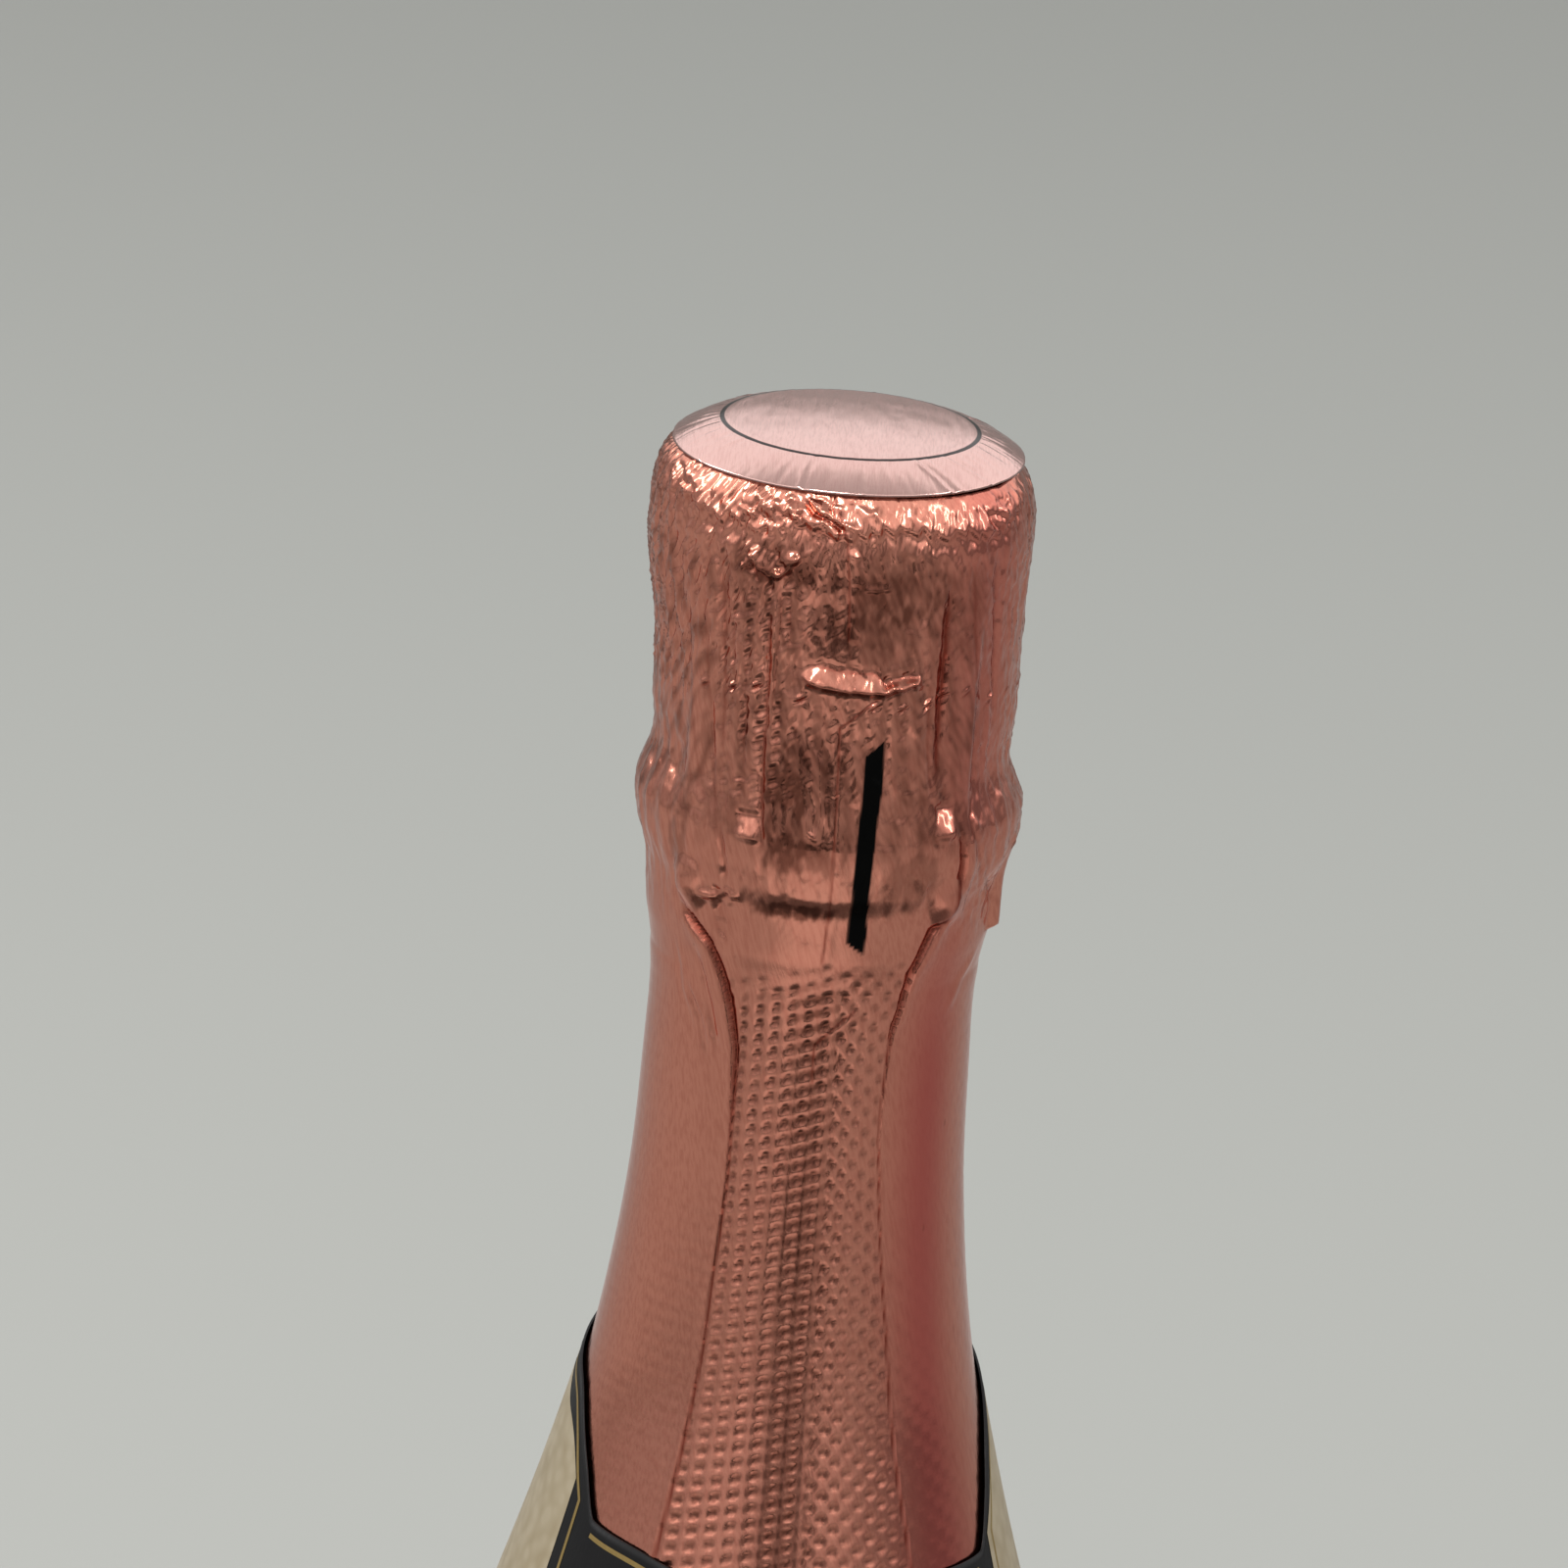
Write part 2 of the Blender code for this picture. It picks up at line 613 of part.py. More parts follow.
def loop_bottom():
    """Lowest point of the wire loop."""
    return loop_stem_top() - LOOP_STEM_LENGTH - 2.0 * (LOOP_EYE_HALF_HEIGHT + BELT_WIRE_RADIUS)


def make_cage_loop(material):
    """Twisted stem and eye, hanging from the belt. Its origin is on the belt wire, where it folds."""
    pivot = Vector((LOOP_PLANE_RADIUS, 0.0, BELT_HEIGHT))
    top = loop_stem_top() - BELT_HEIGHT
    stem = swept(
        even_stations([Vector((0.0, 0.0, top)), Vector((0.0, 0.0, top - LOOP_STEM_LENGTH))], LEG_STATION),
        twisted_section(LOOP_STEM_HALF_WIDTH, LEG_TWIST_PITCH, LEG_STATION, WIRE_STEPS), WIRE_STEPS,
    )
    middle = top - LOOP_STEM_LENGTH - LOOP_EYE_HALF_HEIGHT
    turns = [math.tau * n / EYE_STEPS for n in range(EYE_STEPS)]
    around = [
        Vector((0.0, LOOP_EYE_HALF_WIDTH * math.sin(a), middle + LOOP_EYE_HALF_HEIGHT * math.cos(a)))
        for a in turns
    ]
    eye = swept(around, round_section(BELT_WIRE_RADIUS, WIRE_STEPS), WIRE_STEPS, closed=True)
    loop = united("cage_loop", [stem, eye], material)
    loop.location = pivot


def hood_inner_radius(height):
    """Inside of the hood between its shoulder and its torn edge, away from the legs."""
    bead = BEAD_RADIUS + SLACK_AT_BEAD
    waist = CORK_HEAD_RADIUS + SLACK_AT_WAIST
    lip = LIP_RADIUS + SLACK_AT_LIP
    head = CORK_HEAD_RADIUS + SLACK_AT_HEAD
    waist_height = (BEAD_TOP + LIP_BOTTOM) / 2.0
    head_height = GLASS_HEIGHT + CORK_HEAD_HEIGHT * HOOD_HEAD_SHARE
    lip_height = GLASS_HEIGHT + CORK_HEAD_HEIGHT * HOOD_LIP_TOP_SHARE
    lip_low = GLASS_HEIGHT - LIP_HEIGHT * HOOD_LIP_LOW_SHARE
    levels = (
        (HOOD_BOTTOM, bead), (waist_height, waist), (lip_low, lip), (lip_height, lip), (head_height, head)
    )
    for (z0, r0), (z1, r1) in zip(levels, levels[1:]):
        if height <= z1:
            return r0 + (r1 - r0) * ease((height - z0) / (z1 - z0))
    return head


def over_leg():
    """Inside of the foil where it runs over a leg."""
    return LEG_RADIUS + LEG_HALF_WIDTH + RIDGE_CLEARANCE


def over_eyelet():
    """Inside of the foil where it runs over an eyelet and the end of a leg."""
    return max(over_leg(), EYELET_CENTRE_RADIUS + EYELET_RADIUS + EYELET_WIRE_RADIUS + RIDGE_CLEARANCE)


def hood_ridge(angle, height):
    """Where the foil runs over a leg it stands clear of it, more so near the eyelet."""
    low_share = ease((height - HOOD_BOTTOM) / BEAD_HALF_HEIGHT)
    target = over_eyelet() + (over_leg() - over_eyelet()) * low_share
    if height > SHOULDER_HEIGHT:
        fall = ease((height - SHOULDER_HEIGHT) / (fold_top() - FOIL_THICKNESS - SHOULDER_HEIGHT))
        return (target - hood_inner_radius(SHOULDER_HEIGHT)) * (1.0 - fall) * leg_bump(angle)
    return max(target - hood_inner_radius(height), 0.0) * leg_bump(angle)


def make_hood(material):
    """Foil sleeve over cork and cage, folded in at the top and torn off at the bead."""
    top = fold_top()
    heights = spread(HOOD_BOTTOM, SHOULDER_HEIGHT, HOOD_SIDE_POINTS)
    inner_side = [(hood_inner_radius(z), z) for z in heights]
    outer_side = [(r + FOIL_THICKNESS, z) for r, z in inner_side]
    head = hood_inner_radius(SHOULDER_HEIGHT)
    reach = head - FOIL_FOLD_RADIUS
    rise = top - SHOULDER_HEIGHT
    turn = rise * HOOD_TURN_SHARE
    end = HOOD_SHOULDER_TURN
    inner_centre = (head - turn, SHOULDER_HEIGHT)
    outer_centre = (head + FOIL_THICKNESS - turn, SHOULDER_HEIGHT)
    outer_turn = arc(outer_centre, (turn, rise), 0.0, end, HOOD_TURN_POINTS)[1:]
    inner_turn = arc(inner_centre, (turn, rise - FOIL_THICKNESS), 0.0, end, HOOD_TURN_POINTS)[1:]
    outer_fold = [(head - reach * HOOD_FOLD_SHARE, top), (FOIL_FOLD_RADIUS, top)]
    inner_fold = [(r, top - FOIL_THICKNESS) for r, z in outer_fold]
    outside = outer_side + outer_turn + outer_fold
    inside = inner_side + inner_turn + inner_fold
    spun("foil_hood", outside + inside[::-1], FOIL_STEPS, material, closed=True, bulge=hood_ridge)


def disc_height(radius):
    """Top of the disc: a flat crowned middle and a bevel out to the rim."""
    bottom = fold_top() + SEAT_GAP + FOIL_THICKNESS
    if radius > TOP_DISC_FLAT_RADIUS:
        share = (radius - TOP_DISC_FLAT_RADIUS) / TOP_DISC_BEVEL_WIDTH
        return bottom + TOP_DISC_BEVEL_HEIGHT * (1.0 - share**DISC_BEVEL_POWER)
    share = radius / TOP_DISC_FLAT_RADIUS
    return bottom + TOP_DISC_BEVEL_HEIGHT + TOP_DISC_CROWN_HEIGHT * (1.0 - share**2)


def make_top_disc(material):
    """Stiff round disc that closes the hood."""
    radii = spread(0.0, TOP_DISC_RADIUS, DISC_POINTS)
    high = [(r, disc_height(r)) for r in reversed(radii)]
    low = [(r, disc_height(r) - FOIL_THICKNESS) for r in radii]
    spun("foil_top_disc", low + high, FOIL_STEPS, material)


def skirt_inner_radius(height):
    """Inside of the skirt: tucked in under the bead, then close to the neck."""
    close = outer_radius(height) + FOIL_GAP
    if height < SKIRT_TOP - SKIRT_TUCK:
        return close
    slack = BEAD_RADIUS + SLACK_AT_BEAD - NECK_RADIUS - FOIL_GAP
    return close + slack * smooth_value(TUCK_SHARES, (SKIRT_TOP - height) / SKIRT_TUCK)


def skirt_ridge(angle, height):
    """The foil stands over each eyelet and the wire loop, open upwards so that the cage can lift out."""
    loop_edge = LOOP_EYE_HALF_WIDTH + BELT_WIRE_RADIUS
    over_loop = math.hypot(LOOP_PLANE_RADIUS + BELT_WIRE_RADIUS, loop_edge) + RIDGE_CLEARANCE
    inside = skirt_inner_radius(height)
    eyelet_low = BELT_HEIGHT - EYELET_RADIUS - EYELET_WIRE_RADIUS - RIDGE_CLEARANCE
    eyelet_share = 1.0 - ease((eyelet_low - height) / LOOP_POCKET_FADE)
    loop_share = 1.0 - ease((loop_bottom() - RIDGE_CLEARANCE - height) / LOOP_POCKET_FADE)
    at_leg = max(over_eyelet() - inside, 0.0) * leg_bump(angle) * eyelet_share
    at_loop = max(over_loop - inside, 0.0) * loop_bump(angle) * loop_share
    return max(at_leg, at_loop)


def make_skirt(material):
    """Foil that stays on the neck, from the torn edge at the bead down under the neck label."""
    pocket_low = loop_bottom() - RIDGE_CLEARANCE
    pocket = spread(pocket_low, pocket_low - LOOP_POCKET_FADE, POCKET_POINTS)
    tuck = spread(SKIRT_TOP, SKIRT_TOP - SKIRT_TUCK, TUCK_POINTS)
    above = [z for z in tuck if z > pocket[0] + LEAST_ROW_HEIGHT]
    below = [z for z in tuck if z < pocket[-1] - LEAST_ROW_HEIGHT]
    rows = above + pocket + below
    rows += spread(rows[-1], SKIRT_BOTTOM, SKIRT_POINTS)[1:]
    inside = [(skirt_inner_radius(z), z) for z in rows]
    outside = [(r + FOIL_THICKNESS, z) for r, z in reversed(inside)]
    spun("foil_skirt", inside + outside, FOIL_STEPS, material, closed=True, bulge=skirt_ridge)


def curved_sheet(name, angles, rows, place, thickness, material, closed=False):
    """A thin sheet round Z. place(angle, share) gives its inner radius and height, from bottom to top."""
    shape = bmesh.new()
    grids = []
    for extra in (0.0, thickness):
        grid = []
        for angle in angles:
            column = []
            for share in spread(0.0, 1.0, rows):
                radius, height = place(angle, share)
                radius += extra
                spot = (radius * math.cos(angle), radius * math.sin(angle), height)
                column.append(shape.verts.new(spot))
            grid.append(column)
        grids.append(grid)
    inner, outer = grids
    count = len(angles)
    spans = count if closed else count - 1
    for n in range(spans):
        m = (n + 1) % count
        for k in range(rows - 1):
            shape.faces.new((outer[n][k], outer[m][k], outer[m][k + 1], outer[n][k + 1]))
            shape.faces.new((inner[n][k], inner[n][k + 1], inner[m][k + 1], inner[m][k]))
        for k in (0, rows - 1):
            shape.faces.new((inner[n][k], inner[m][k], outer[m][k], outer[n][k]))
    if not closed:
        for n in (0, count - 1):
            for k in range(rows - 1):
                shape.faces.new((inner[n][k], outer[n][k], outer[n][k + 1], inner[n][k + 1]))
    return add_piece(name, shape, material)


def neck_label_top(angle):
    """Top edge of the neck label: a level band at the back, a step up, and a rise to the front."""
    from_back = turn_between(angle, -math.pi / 2.0)
    corner = LABEL_CORNER_TURN
    side = LABEL_SIDE_TURN
    step = NECK_LABEL_CORNER_RISE * ease((from_back - corner) / LABEL_CORNER_SPAN + LABEL_STEP_MIDDLE_SHARE)
    to_side = (NECK_LABEL_SIDE_RISE - NECK_LABEL_CORNER_RISE) * ease((from_back - corner) / (side - corner))
    to_front = (NECK_LABEL_FRONT_RISE - NECK_LABEL_SIDE_RISE) * ease((from_back - side) / (math.pi - side))
    return NECK_LABEL_BAND_TOP + step + to_side + to_front


def make_neck_label(material):
    """Paper collar round the neck, over the lower edge of the foil."""
    offset = FOIL_GAP + FOIL_THICKNESS + SEAT_GAP

    def place(angle, share):
        height = NECK_LABEL_BOTTOM + (neck_label_top(angle) - NECK_LABEL_BOTTOM) * share
        return outer_radius(height) + offset, height

    angles = [math.tau * n / FOIL_STEPS for n in range(FOIL_STEPS)]
    curved_sheet("neck_label", angles, NECK_LABEL_LEVEL_COUNT, place, LABEL_THICKNESS, material, closed=True)


def make_body_label(name, middle, width, bottom, height, material):
    """Paper label on the straight of the body."""
    radius = BODY_RADIUS + SEAT_GAP
    half = width / radius / 2.0
    angles = spread(middle - half, middle + half, BODY_LABEL_POINTS)

    def place(angle, share):
        return radius, bottom + height * share

    curved_sheet(name, angles, BODY_LABEL_LEVEL_COUNT, place, LABEL_THICKNESS, material)


def build():
    clear_scene()
    green_glass = finish("green_glass", (0.020, 0.045, 0.018), 0.06, transmission=0.6)
    wine = finish("rose_wine", (0.72, 0.30, 0.22), 0.05, transmission=0.8)
    agglomerate = finish("agglomerated_cork", (0.55, 0.38, 0.22), 0.85)
    natural_cork = finish("natural_cork", (0.62, 0.43, 0.25), 0.85)
    cage_wire = finish("cage_wire", (0.62, 0.60, 0.57), 0.32, metallic=1.0)
    plaque_metal = finish("plaque_metal", (0.70, 0.42, 0.35), 0.30, metallic=1.0)
    foil = finish("rose_foil", (0.62, 0.36, 0.31), 0.32, metallic=1.0)
    pale_foil = finish("pale_foil", (0.84, 0.64, 0.60), 0.30, metallic=1.0)
    black_paper = finish("black_paper", (0.012, 0.012, 0.013), 0.45)

    make_glass(green_glass)
    make_wine(wine)
    make_cork(agglomerate, natural_cork)
    make_plaque(plaque_metal)
    make_cage_ring(cage_wire)
    make_cage_legs(cage_wire)
    make_cage_belt(cage_wire)
    make_cage_loop(cage_wire)
    make_hood(foil)
    make_top_disc(pale_foil)
    make_skirt(foil)
    make_neck_label(black_paper)
    make_body_label(
        "front_label", math.pi / 2.0, FRONT_LABEL_WIDTH, FRONT_LABEL_BOTTOM, FRONT_LABEL_HEIGHT, black_paper
    )
    make_body_label(
        "back_label", -math.pi / 2.0, BACK_LABEL_WIDTH, BACK_LABEL_BOTTOM, BACK_LABEL_HEIGHT, black_paper
    )


build()
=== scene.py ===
import math

import bmesh
import bpy
import numpy as np
from mathutils import Matrix, Vector


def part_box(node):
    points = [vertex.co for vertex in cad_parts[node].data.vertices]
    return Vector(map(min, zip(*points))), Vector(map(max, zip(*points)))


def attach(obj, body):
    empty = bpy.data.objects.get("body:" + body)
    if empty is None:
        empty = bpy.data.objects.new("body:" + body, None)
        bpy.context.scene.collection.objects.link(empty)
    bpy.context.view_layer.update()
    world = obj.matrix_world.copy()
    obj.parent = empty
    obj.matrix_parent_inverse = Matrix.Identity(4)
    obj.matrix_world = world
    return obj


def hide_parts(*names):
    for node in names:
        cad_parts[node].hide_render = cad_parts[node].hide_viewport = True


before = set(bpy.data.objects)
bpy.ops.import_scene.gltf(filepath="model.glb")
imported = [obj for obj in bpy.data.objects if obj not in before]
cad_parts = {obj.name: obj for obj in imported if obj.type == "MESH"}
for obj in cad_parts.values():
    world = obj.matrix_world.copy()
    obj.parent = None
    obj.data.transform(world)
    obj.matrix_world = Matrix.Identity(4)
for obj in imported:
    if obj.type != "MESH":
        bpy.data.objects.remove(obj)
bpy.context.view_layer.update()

# Sizes are in millimetres, in the CAD's frame, and MM turns them into metres as a mesh is made. The camera's
# clipping, what the finishes measure, the floor and the lights are in metres from the start.
MM = 0.001
TAU = math.tau
IMAGE = 1600
CAMERA_AT = np.array([0.0, -600.0, 485.4])
YAW, PITCH, ROLL = -0.00620784, 0.31808781, 0.07712206
FOCAL_PX = 7471.0

# The camera, fitted to the photograph


def camera_axes():
    """Right, up and forward of the camera, in the row frame."""
    ahead = np.array([math.sin(YAW) * math.cos(PITCH), math.cos(YAW) * math.cos(PITCH), -math.sin(PITCH)])
    right = np.array([math.cos(YAW), -math.sin(YAW), 0.0])
    up = np.cross(right, ahead)
    turned_right = right * math.cos(ROLL) + up * math.sin(ROLL)
    turned_up = -right * math.sin(ROLL) + up * math.cos(ROLL)
    return turned_right, turned_up, ahead


def project(points):
    """Where points in the row frame lie in the 1600 x 1600 photograph."""
    right, up, ahead = camera_axes()
    d = points - CAMERA_AT
    w = d @ ahead
    return IMAGE / 2 + FOCAL_PX * (d @ right) / w, IMAGE / 2 - FOCAL_PX * (d @ up) / w


def add_camera():
    right, up, ahead = camera_axes()
    lens = bpy.data.cameras.new("photo_camera")
    lens.sensor_fit = "HORIZONTAL"
    lens.sensor_width = 36.0
    lens.lens = FOCAL_PX / IMAGE * lens.sensor_width
    lens.clip_start = 0.01
    lens.clip_end = 50.0
    eye = bpy.data.objects.new("photo_camera", lens)
    place = Matrix([list(row) for row in np.stack([right, up, -ahead], 1)]).to_4x4()
    place.translation = Vector(CAMERA_AT * MM)
    eye.matrix_world = place
    bpy.context.scene.collection.objects.link(eye)
    bpy.context.scene.camera = eye


# Noise and curves over the foil


def ease(t):
    t = np.clip(t, 0.0, 1.0)
    return t * t * (3.0 - 2.0 * t)


def curve(table, x):
    """Smooth curve through the table's points, the same one as the CAD's."""
    xs = np.array([p[0] for p in table])
    ys = np.array([p[1] for p in table])
    x = np.clip(x, xs[0], xs[-1])
    n = np.clip(np.searchsorted(xs, x, side="left") - 1, 0, len(xs) - 2)
    a, b = np.maximum(n - 1, 0), np.minimum(n + 2, len(xs) - 1)
    h = xs[n + 1] - xs[n]
    t = (x - xs[n]) / h
    m0 = (ys[n + 1] - ys[a]) / (xs[n + 1] - xs[a])
    m1 = (ys[b] - ys[n]) / (xs[b] - xs[n])
    return (
        (2 * t**3 - 3 * t**2 + 1) * ys[n] + (t**3 - 2 * t**2 + t) * h * m0
        + (3 * t**2 - 2 * t**3) * ys[n + 1] + (t**3 - t**2) * h * m1
    )


def wave_noise(u, v, period, seed):
    """Smooth noise from -1 to 1 with cells one unit wide; u repeats after a whole number of cells."""
    rows = 97
    turn = np.random.default_rng(seed).uniform(0.0, TAU, (period, rows))
    iu, iv = np.floor(u).astype(int), np.floor(v).astype(int)
    fu, fv = u - iu, v - iv
    wu = fu**3 * (fu * (fu * 6 - 15) + 10)
    wv = fv**3 * (fv * (fv * 6 - 15) + 10)
    out = 0.0
    for du in (0, 1):
        for dv in (0, 1):
            g = turn[(iu + du) % period, (iv + dv) % rows]
            value = np.cos(g) * (fu - du) + np.sin(g) * (fv - dv)
            out = out + value * (wu if du else 1 - wu) * (wv if dv else 1 - wv)
    return out * 1.5


def creased(u, v, period, seed):
    """Noise with sharp ridges, as in crushed foil, from 0 to 1."""
    return 1.0 - np.minimum(np.abs(wave_noise(u, v, period, seed)) * 1.6, 1.0)


def facets(u, v, period, seed, sharp=9.0):
    """Flat facets at random tilts that meet in sharp creases."""
    rows = 89
    made = np.random.default_rng(seed)
    ju, jv = made.uniform(0.1, 0.9, (period, rows)), made.uniform(0.1, 0.9, (period, rows))
    gu, gv = made.uniform(-1, 1, (period, rows)), made.uniform(-1, 1, (period, rows))
    level = made.uniform(-0.4, 0.4, (period, rows))
    iu, iv = np.floor(u).astype(int), np.floor(v).astype(int)
    total, weight = 0.0, 1e-9
    for du in (-1, 0, 1):
        for dv in (-1, 0, 1):
            k, m = (iu + du) % period, (iv + dv) % rows
            x, y = u - (iu + du) - ju[k, m], v - (iv + dv) - jv[k, m]
            w = np.exp(-sharp * (x * x + y * y))
            total = total + w * (gu[k, m] * x + gv[k, m] * y + level[k, m])
            weight = weight + w
    return total / weight


# The shapes that the foil lies on

# Shoulder of the glass: depth under its top, how far out it has come, both as shares
SHOULDER = (
    (0.0, 0.0), (0.10, 0.019), (0.20, 0.082), (0.27, 0.163), (0.345, 0.268), (0.445, 0.425),
    (0.575, 0.646), (0.705, 0.828), (0.84, 0.945), (1.0, 1.0),
)
NECK_R, BODY_R = 13.5, 44.3
SHOULDER_TOP, SHOULDER_HIGH = 268.0, 153.0
# Foil from the bead down to the neck: depth under the bead's middle, how far it stands off, both as shares
TUCK = ((0.0, 1.0), (0.19, 0.86), (0.36, 0.53), (0.50, 0.42), (0.75, 0.34), (0.88, 0.18), (1.0, 0.0))
TUCK_TOP, TUCK_FOOT, TUCK_HIGH, TUCK_OUT = 287.5, 273.7, 13.8, 2.4
FOIL_OFF = 0.6
TEAR, BEAD_R = 287.65, 16.5
TURN_R, TURN_Z, HEAD_R = 2.64, 6.28, 16.3
# Hood from the tear up: height, radius
HOOD_LEVELS = ((TEAR, BEAD_R), (292.8, 15.25), (296.5, 15.55), (301.4, 15.55), (310.85, HEAD_R))
FOIL_START, SIDE_TOP = 214.0, 312.4
FOLD_R, FOLD_Z = 11.5, 318.68
LEGS = [math.radians(a) for a in (45.0, 135.0, 225.0, 315.0)]
LOOP_AT = 15.15
BELT_Z = 282.4
# Radii that turn an angle into a length along the foil: anywhere, on the head and on the neck
ROUND_R, HEAD_ROUND_R, NECK_ROUND_R = 15.0, 15.5, 14.6
SLOPE_STEP = 0.4
SEEN_TURN = 1.75


def glass_radius(z):
    return NECK_R + (BODY_R - NECK_R) * curve(SHOULDER, (SHOULDER_TOP - z) / SHOULDER_HIGH)


def side_radius(z):
    """Outside of the foil on neck, bead and cork head, with no crease in it."""
    close = glass_radius(z) + FOIL_OFF
    skirt = close + TUCK_OUT * curve(TUCK, (TUCK_TOP - z) / TUCK_HIGH)
    skirt = np.where(z < TUCK_FOOT, close, skirt)
    hood = np.full_like(z, BEAD_R)
    for (z0, r0), (z1, r1) in zip(HOOD_LEVELS, HOOD_LEVELS[1:]):
        hood = np.where(z > z0, r0 + (r1 - r0) * ease((z - z0) / (z1 - z0)), hood)
    return np.where(z >= TUCK_TOP, hood, skirt)


def level_radius(s):
    """Radius at a length s of the straight side, and the one at its top above it."""
    return side_radius(np.minimum(s, SIDE_TOP))


def turn_table():
    """The shoulder's quarter turn and the fold under the disc, by length along the foil."""
    a = np.linspace(0.0, math.pi / 2, 200)
    r = np.concatenate([HEAD_R - TURN_R + TURN_R * np.cos(a), [FOLD_R]])
    z = np.concatenate([SIDE_TOP + TURN_Z * np.sin(a), [FOLD_Z]])
    length = np.concatenate([[0.0], np.cumsum(np.hypot(np.diff(r), np.diff(z)))])
    return length, r, z


TURN_LENGTH, TURN_RS, TURN_ZS = turn_table()
FOIL_END = SIDE_TOP + TURN_LENGTH[-1]


def level(s):
    """Radius and height at a length s; on the straight side s is the height."""
    over = np.clip(s - SIDE_TOP, 0.0, TURN_LENGTH[-1])
    straight = s <= SIDE_TOP
    r = np.where(straight, level_radius(s), np.interp(over, TURN_LENGTH, TURN_RS))
    z = np.where(straight, s, np.interp(over, TURN_LENGTH, TURN_ZS))
    return r, z


def profile(s):
    """Radius, height and outward normal of the plain foil at a length s."""
    r, z = level(s)
    r1, z1 = level(s - SLOPE_STEP)
    r2, z2 = level(np.minimum(s + SLOPE_STEP, FOIL_END))
    long = np.hypot(r2 - r1, z2 - z1)
    return r, z, (z2 - z1) / long, -(r2 - r1) / long


def spot_on(r, z, phi):
    """A point at a turn phi from the back of the bottle, which faces the camera."""
    return np.stack([r * np.sin(phi), -r * np.cos(phi), z], -1)


def lookup():
    """Turn, length and pixel of many points on the side of the foil that faces the camera."""
    s = np.linspace(FOIL_START, FOIL_END, 700)
    phi = np.linspace(-SEEN_TURN, SEEN_TURN, 600)
    PHI, S = np.meshgrid(phi, s, indexing="ij")
    r, z, nr, nz = profile(S)
    points = spot_on(r, z, PHI)
    normal = spot_on(nr, nz, PHI)
    facing = np.sum(normal * (CAMERA_AT - points), -1) > 0
    x, y = project(points)
    return PHI[facing], S[facing], x[facing], y[facing]


LOOK_PHI, LOOK_S, LOOK_X, LOOK_Y = lookup()


def seen(*pixels):
    """Turn and length on the foil of points in the photograph."""
    out = []
    for x, y in pixels:
        n = np.argmin((LOOK_X - x) ** 2 + (LOOK_Y - y) ** 2)
        out.append((LOOK_PHI[n], LOOK_S[n]))
    return np.array(out)


def turn_from(phi, centre):
    """Angle from a centre, between minus and plus half a turn."""
    return (phi - centre + math.pi) % TAU - math.pi


def near_line(phi, s, line):
    """Distance to a polyline in mm, positive on its left as it runs, and the share of the way along it."""
    radius = float(level_radius(line[:, 1]).mean())
    x = turn_from(phi, line[0, 0]) * radius
    px = turn_from(line[:, 0], line[0, 0]) * radius
    py = line[:, 1]
    steps = np.hypot(np.diff(px), np.diff(py))
    done, best = 0.0, np.full(phi.shape, 1e9)
    side, along = np.zeros(phi.shape), np.zeros(phi.shape)
    for n in range(len(px) - 1):
        dx, dy = px[n + 1] - px[n], py[n + 1] - py[n]
        t = np.clip(((x - px[n]) * dx + (s - py[n]) * dy) / (steps[n] ** 2 + 1e-12), 0.0, 1.0)
        ex, ey = x - px[n] - t * dx, s - py[n] - t * dy
        d = np.hypot(ex, ey)
        closer = d < best
        best = np.where(closer, d, best)
        side = np.where(closer, np.sign(dx * ey - dy * ex), side)
        along = np.where(closer, (done + t * steps[n]) / steps.sum(), along)
        done += steps[n]
    return best * side, along


def bell(d, w):
    return np.exp(-((d / w) ** 2))


def ends(along, share):
    """1 along a line, falling off to 0 at both of its ends."""
    return ease(along / share) * ease((1.0 - along) / share)


def patch(phi, s, pixel, wide, high, power=4.0):
    """1 at a point of the photograph, falling off over wide x high mm."""
    p, q = seen(pixel)[0]
    radius = float(level_radius(np.array([q]))[0])
    return np.exp(-np.abs(turn_from(phi, p) * radius / wide) ** power - np.abs((s - q) / high) ** power)


# Creases of the foil, as pixels of the photograph

LEFT_FOLD = (
    (694, 905), (700, 930), (722, 962), (735, 990), (744, 1025), (749, 1070), (746, 1130), (741, 1198),
    (732, 1265), (724, 1314), (718, 1364), (700, 1450), (694, 1476), (667, 1581), (650, 1640),
)
RIGHT_FOLD = (
    (976, 835), (984, 862), (982, 885), (966, 933), (951, 953), (931, 993), (925, 1009), (919, 1030),
    (911, 1056), (906, 1089), (901, 1125), (898, 1165), (898, 1215), (900, 1281), (906, 1367), (911, 1461),
    (917, 1511), (928, 1577), (934, 1620),
)
SEAM_TOP = ((852, 503), (866, 552), (868, 600), (866, 656))
SEAM_LOW = ((906, 700), (880, 722), (857, 741), (855, 790), (850, 900), (845, 940), (838, 990))
SEAM_NECK = ((874, 1030), (852, 1050), (831, 1068), (829, 1108))
LEDGE = (
    (698, 500), (722, 516), (740, 528), (757, 526), (775, 521), (800, 520), (822, 530), (845, 541),
    (864, 548), (886, 546), (905, 540), (925, 543), (945, 542), (962, 548), (985, 543), (1008, 548),
    (1025, 538), (1040, 522), (1050, 505),
)
SHELF_EDGE = (
    (819, 683), (832, 692), (852, 698), (882, 701), (902, 701), (908, 696), (916, 698), (926, 694),
    (938, 688),
)
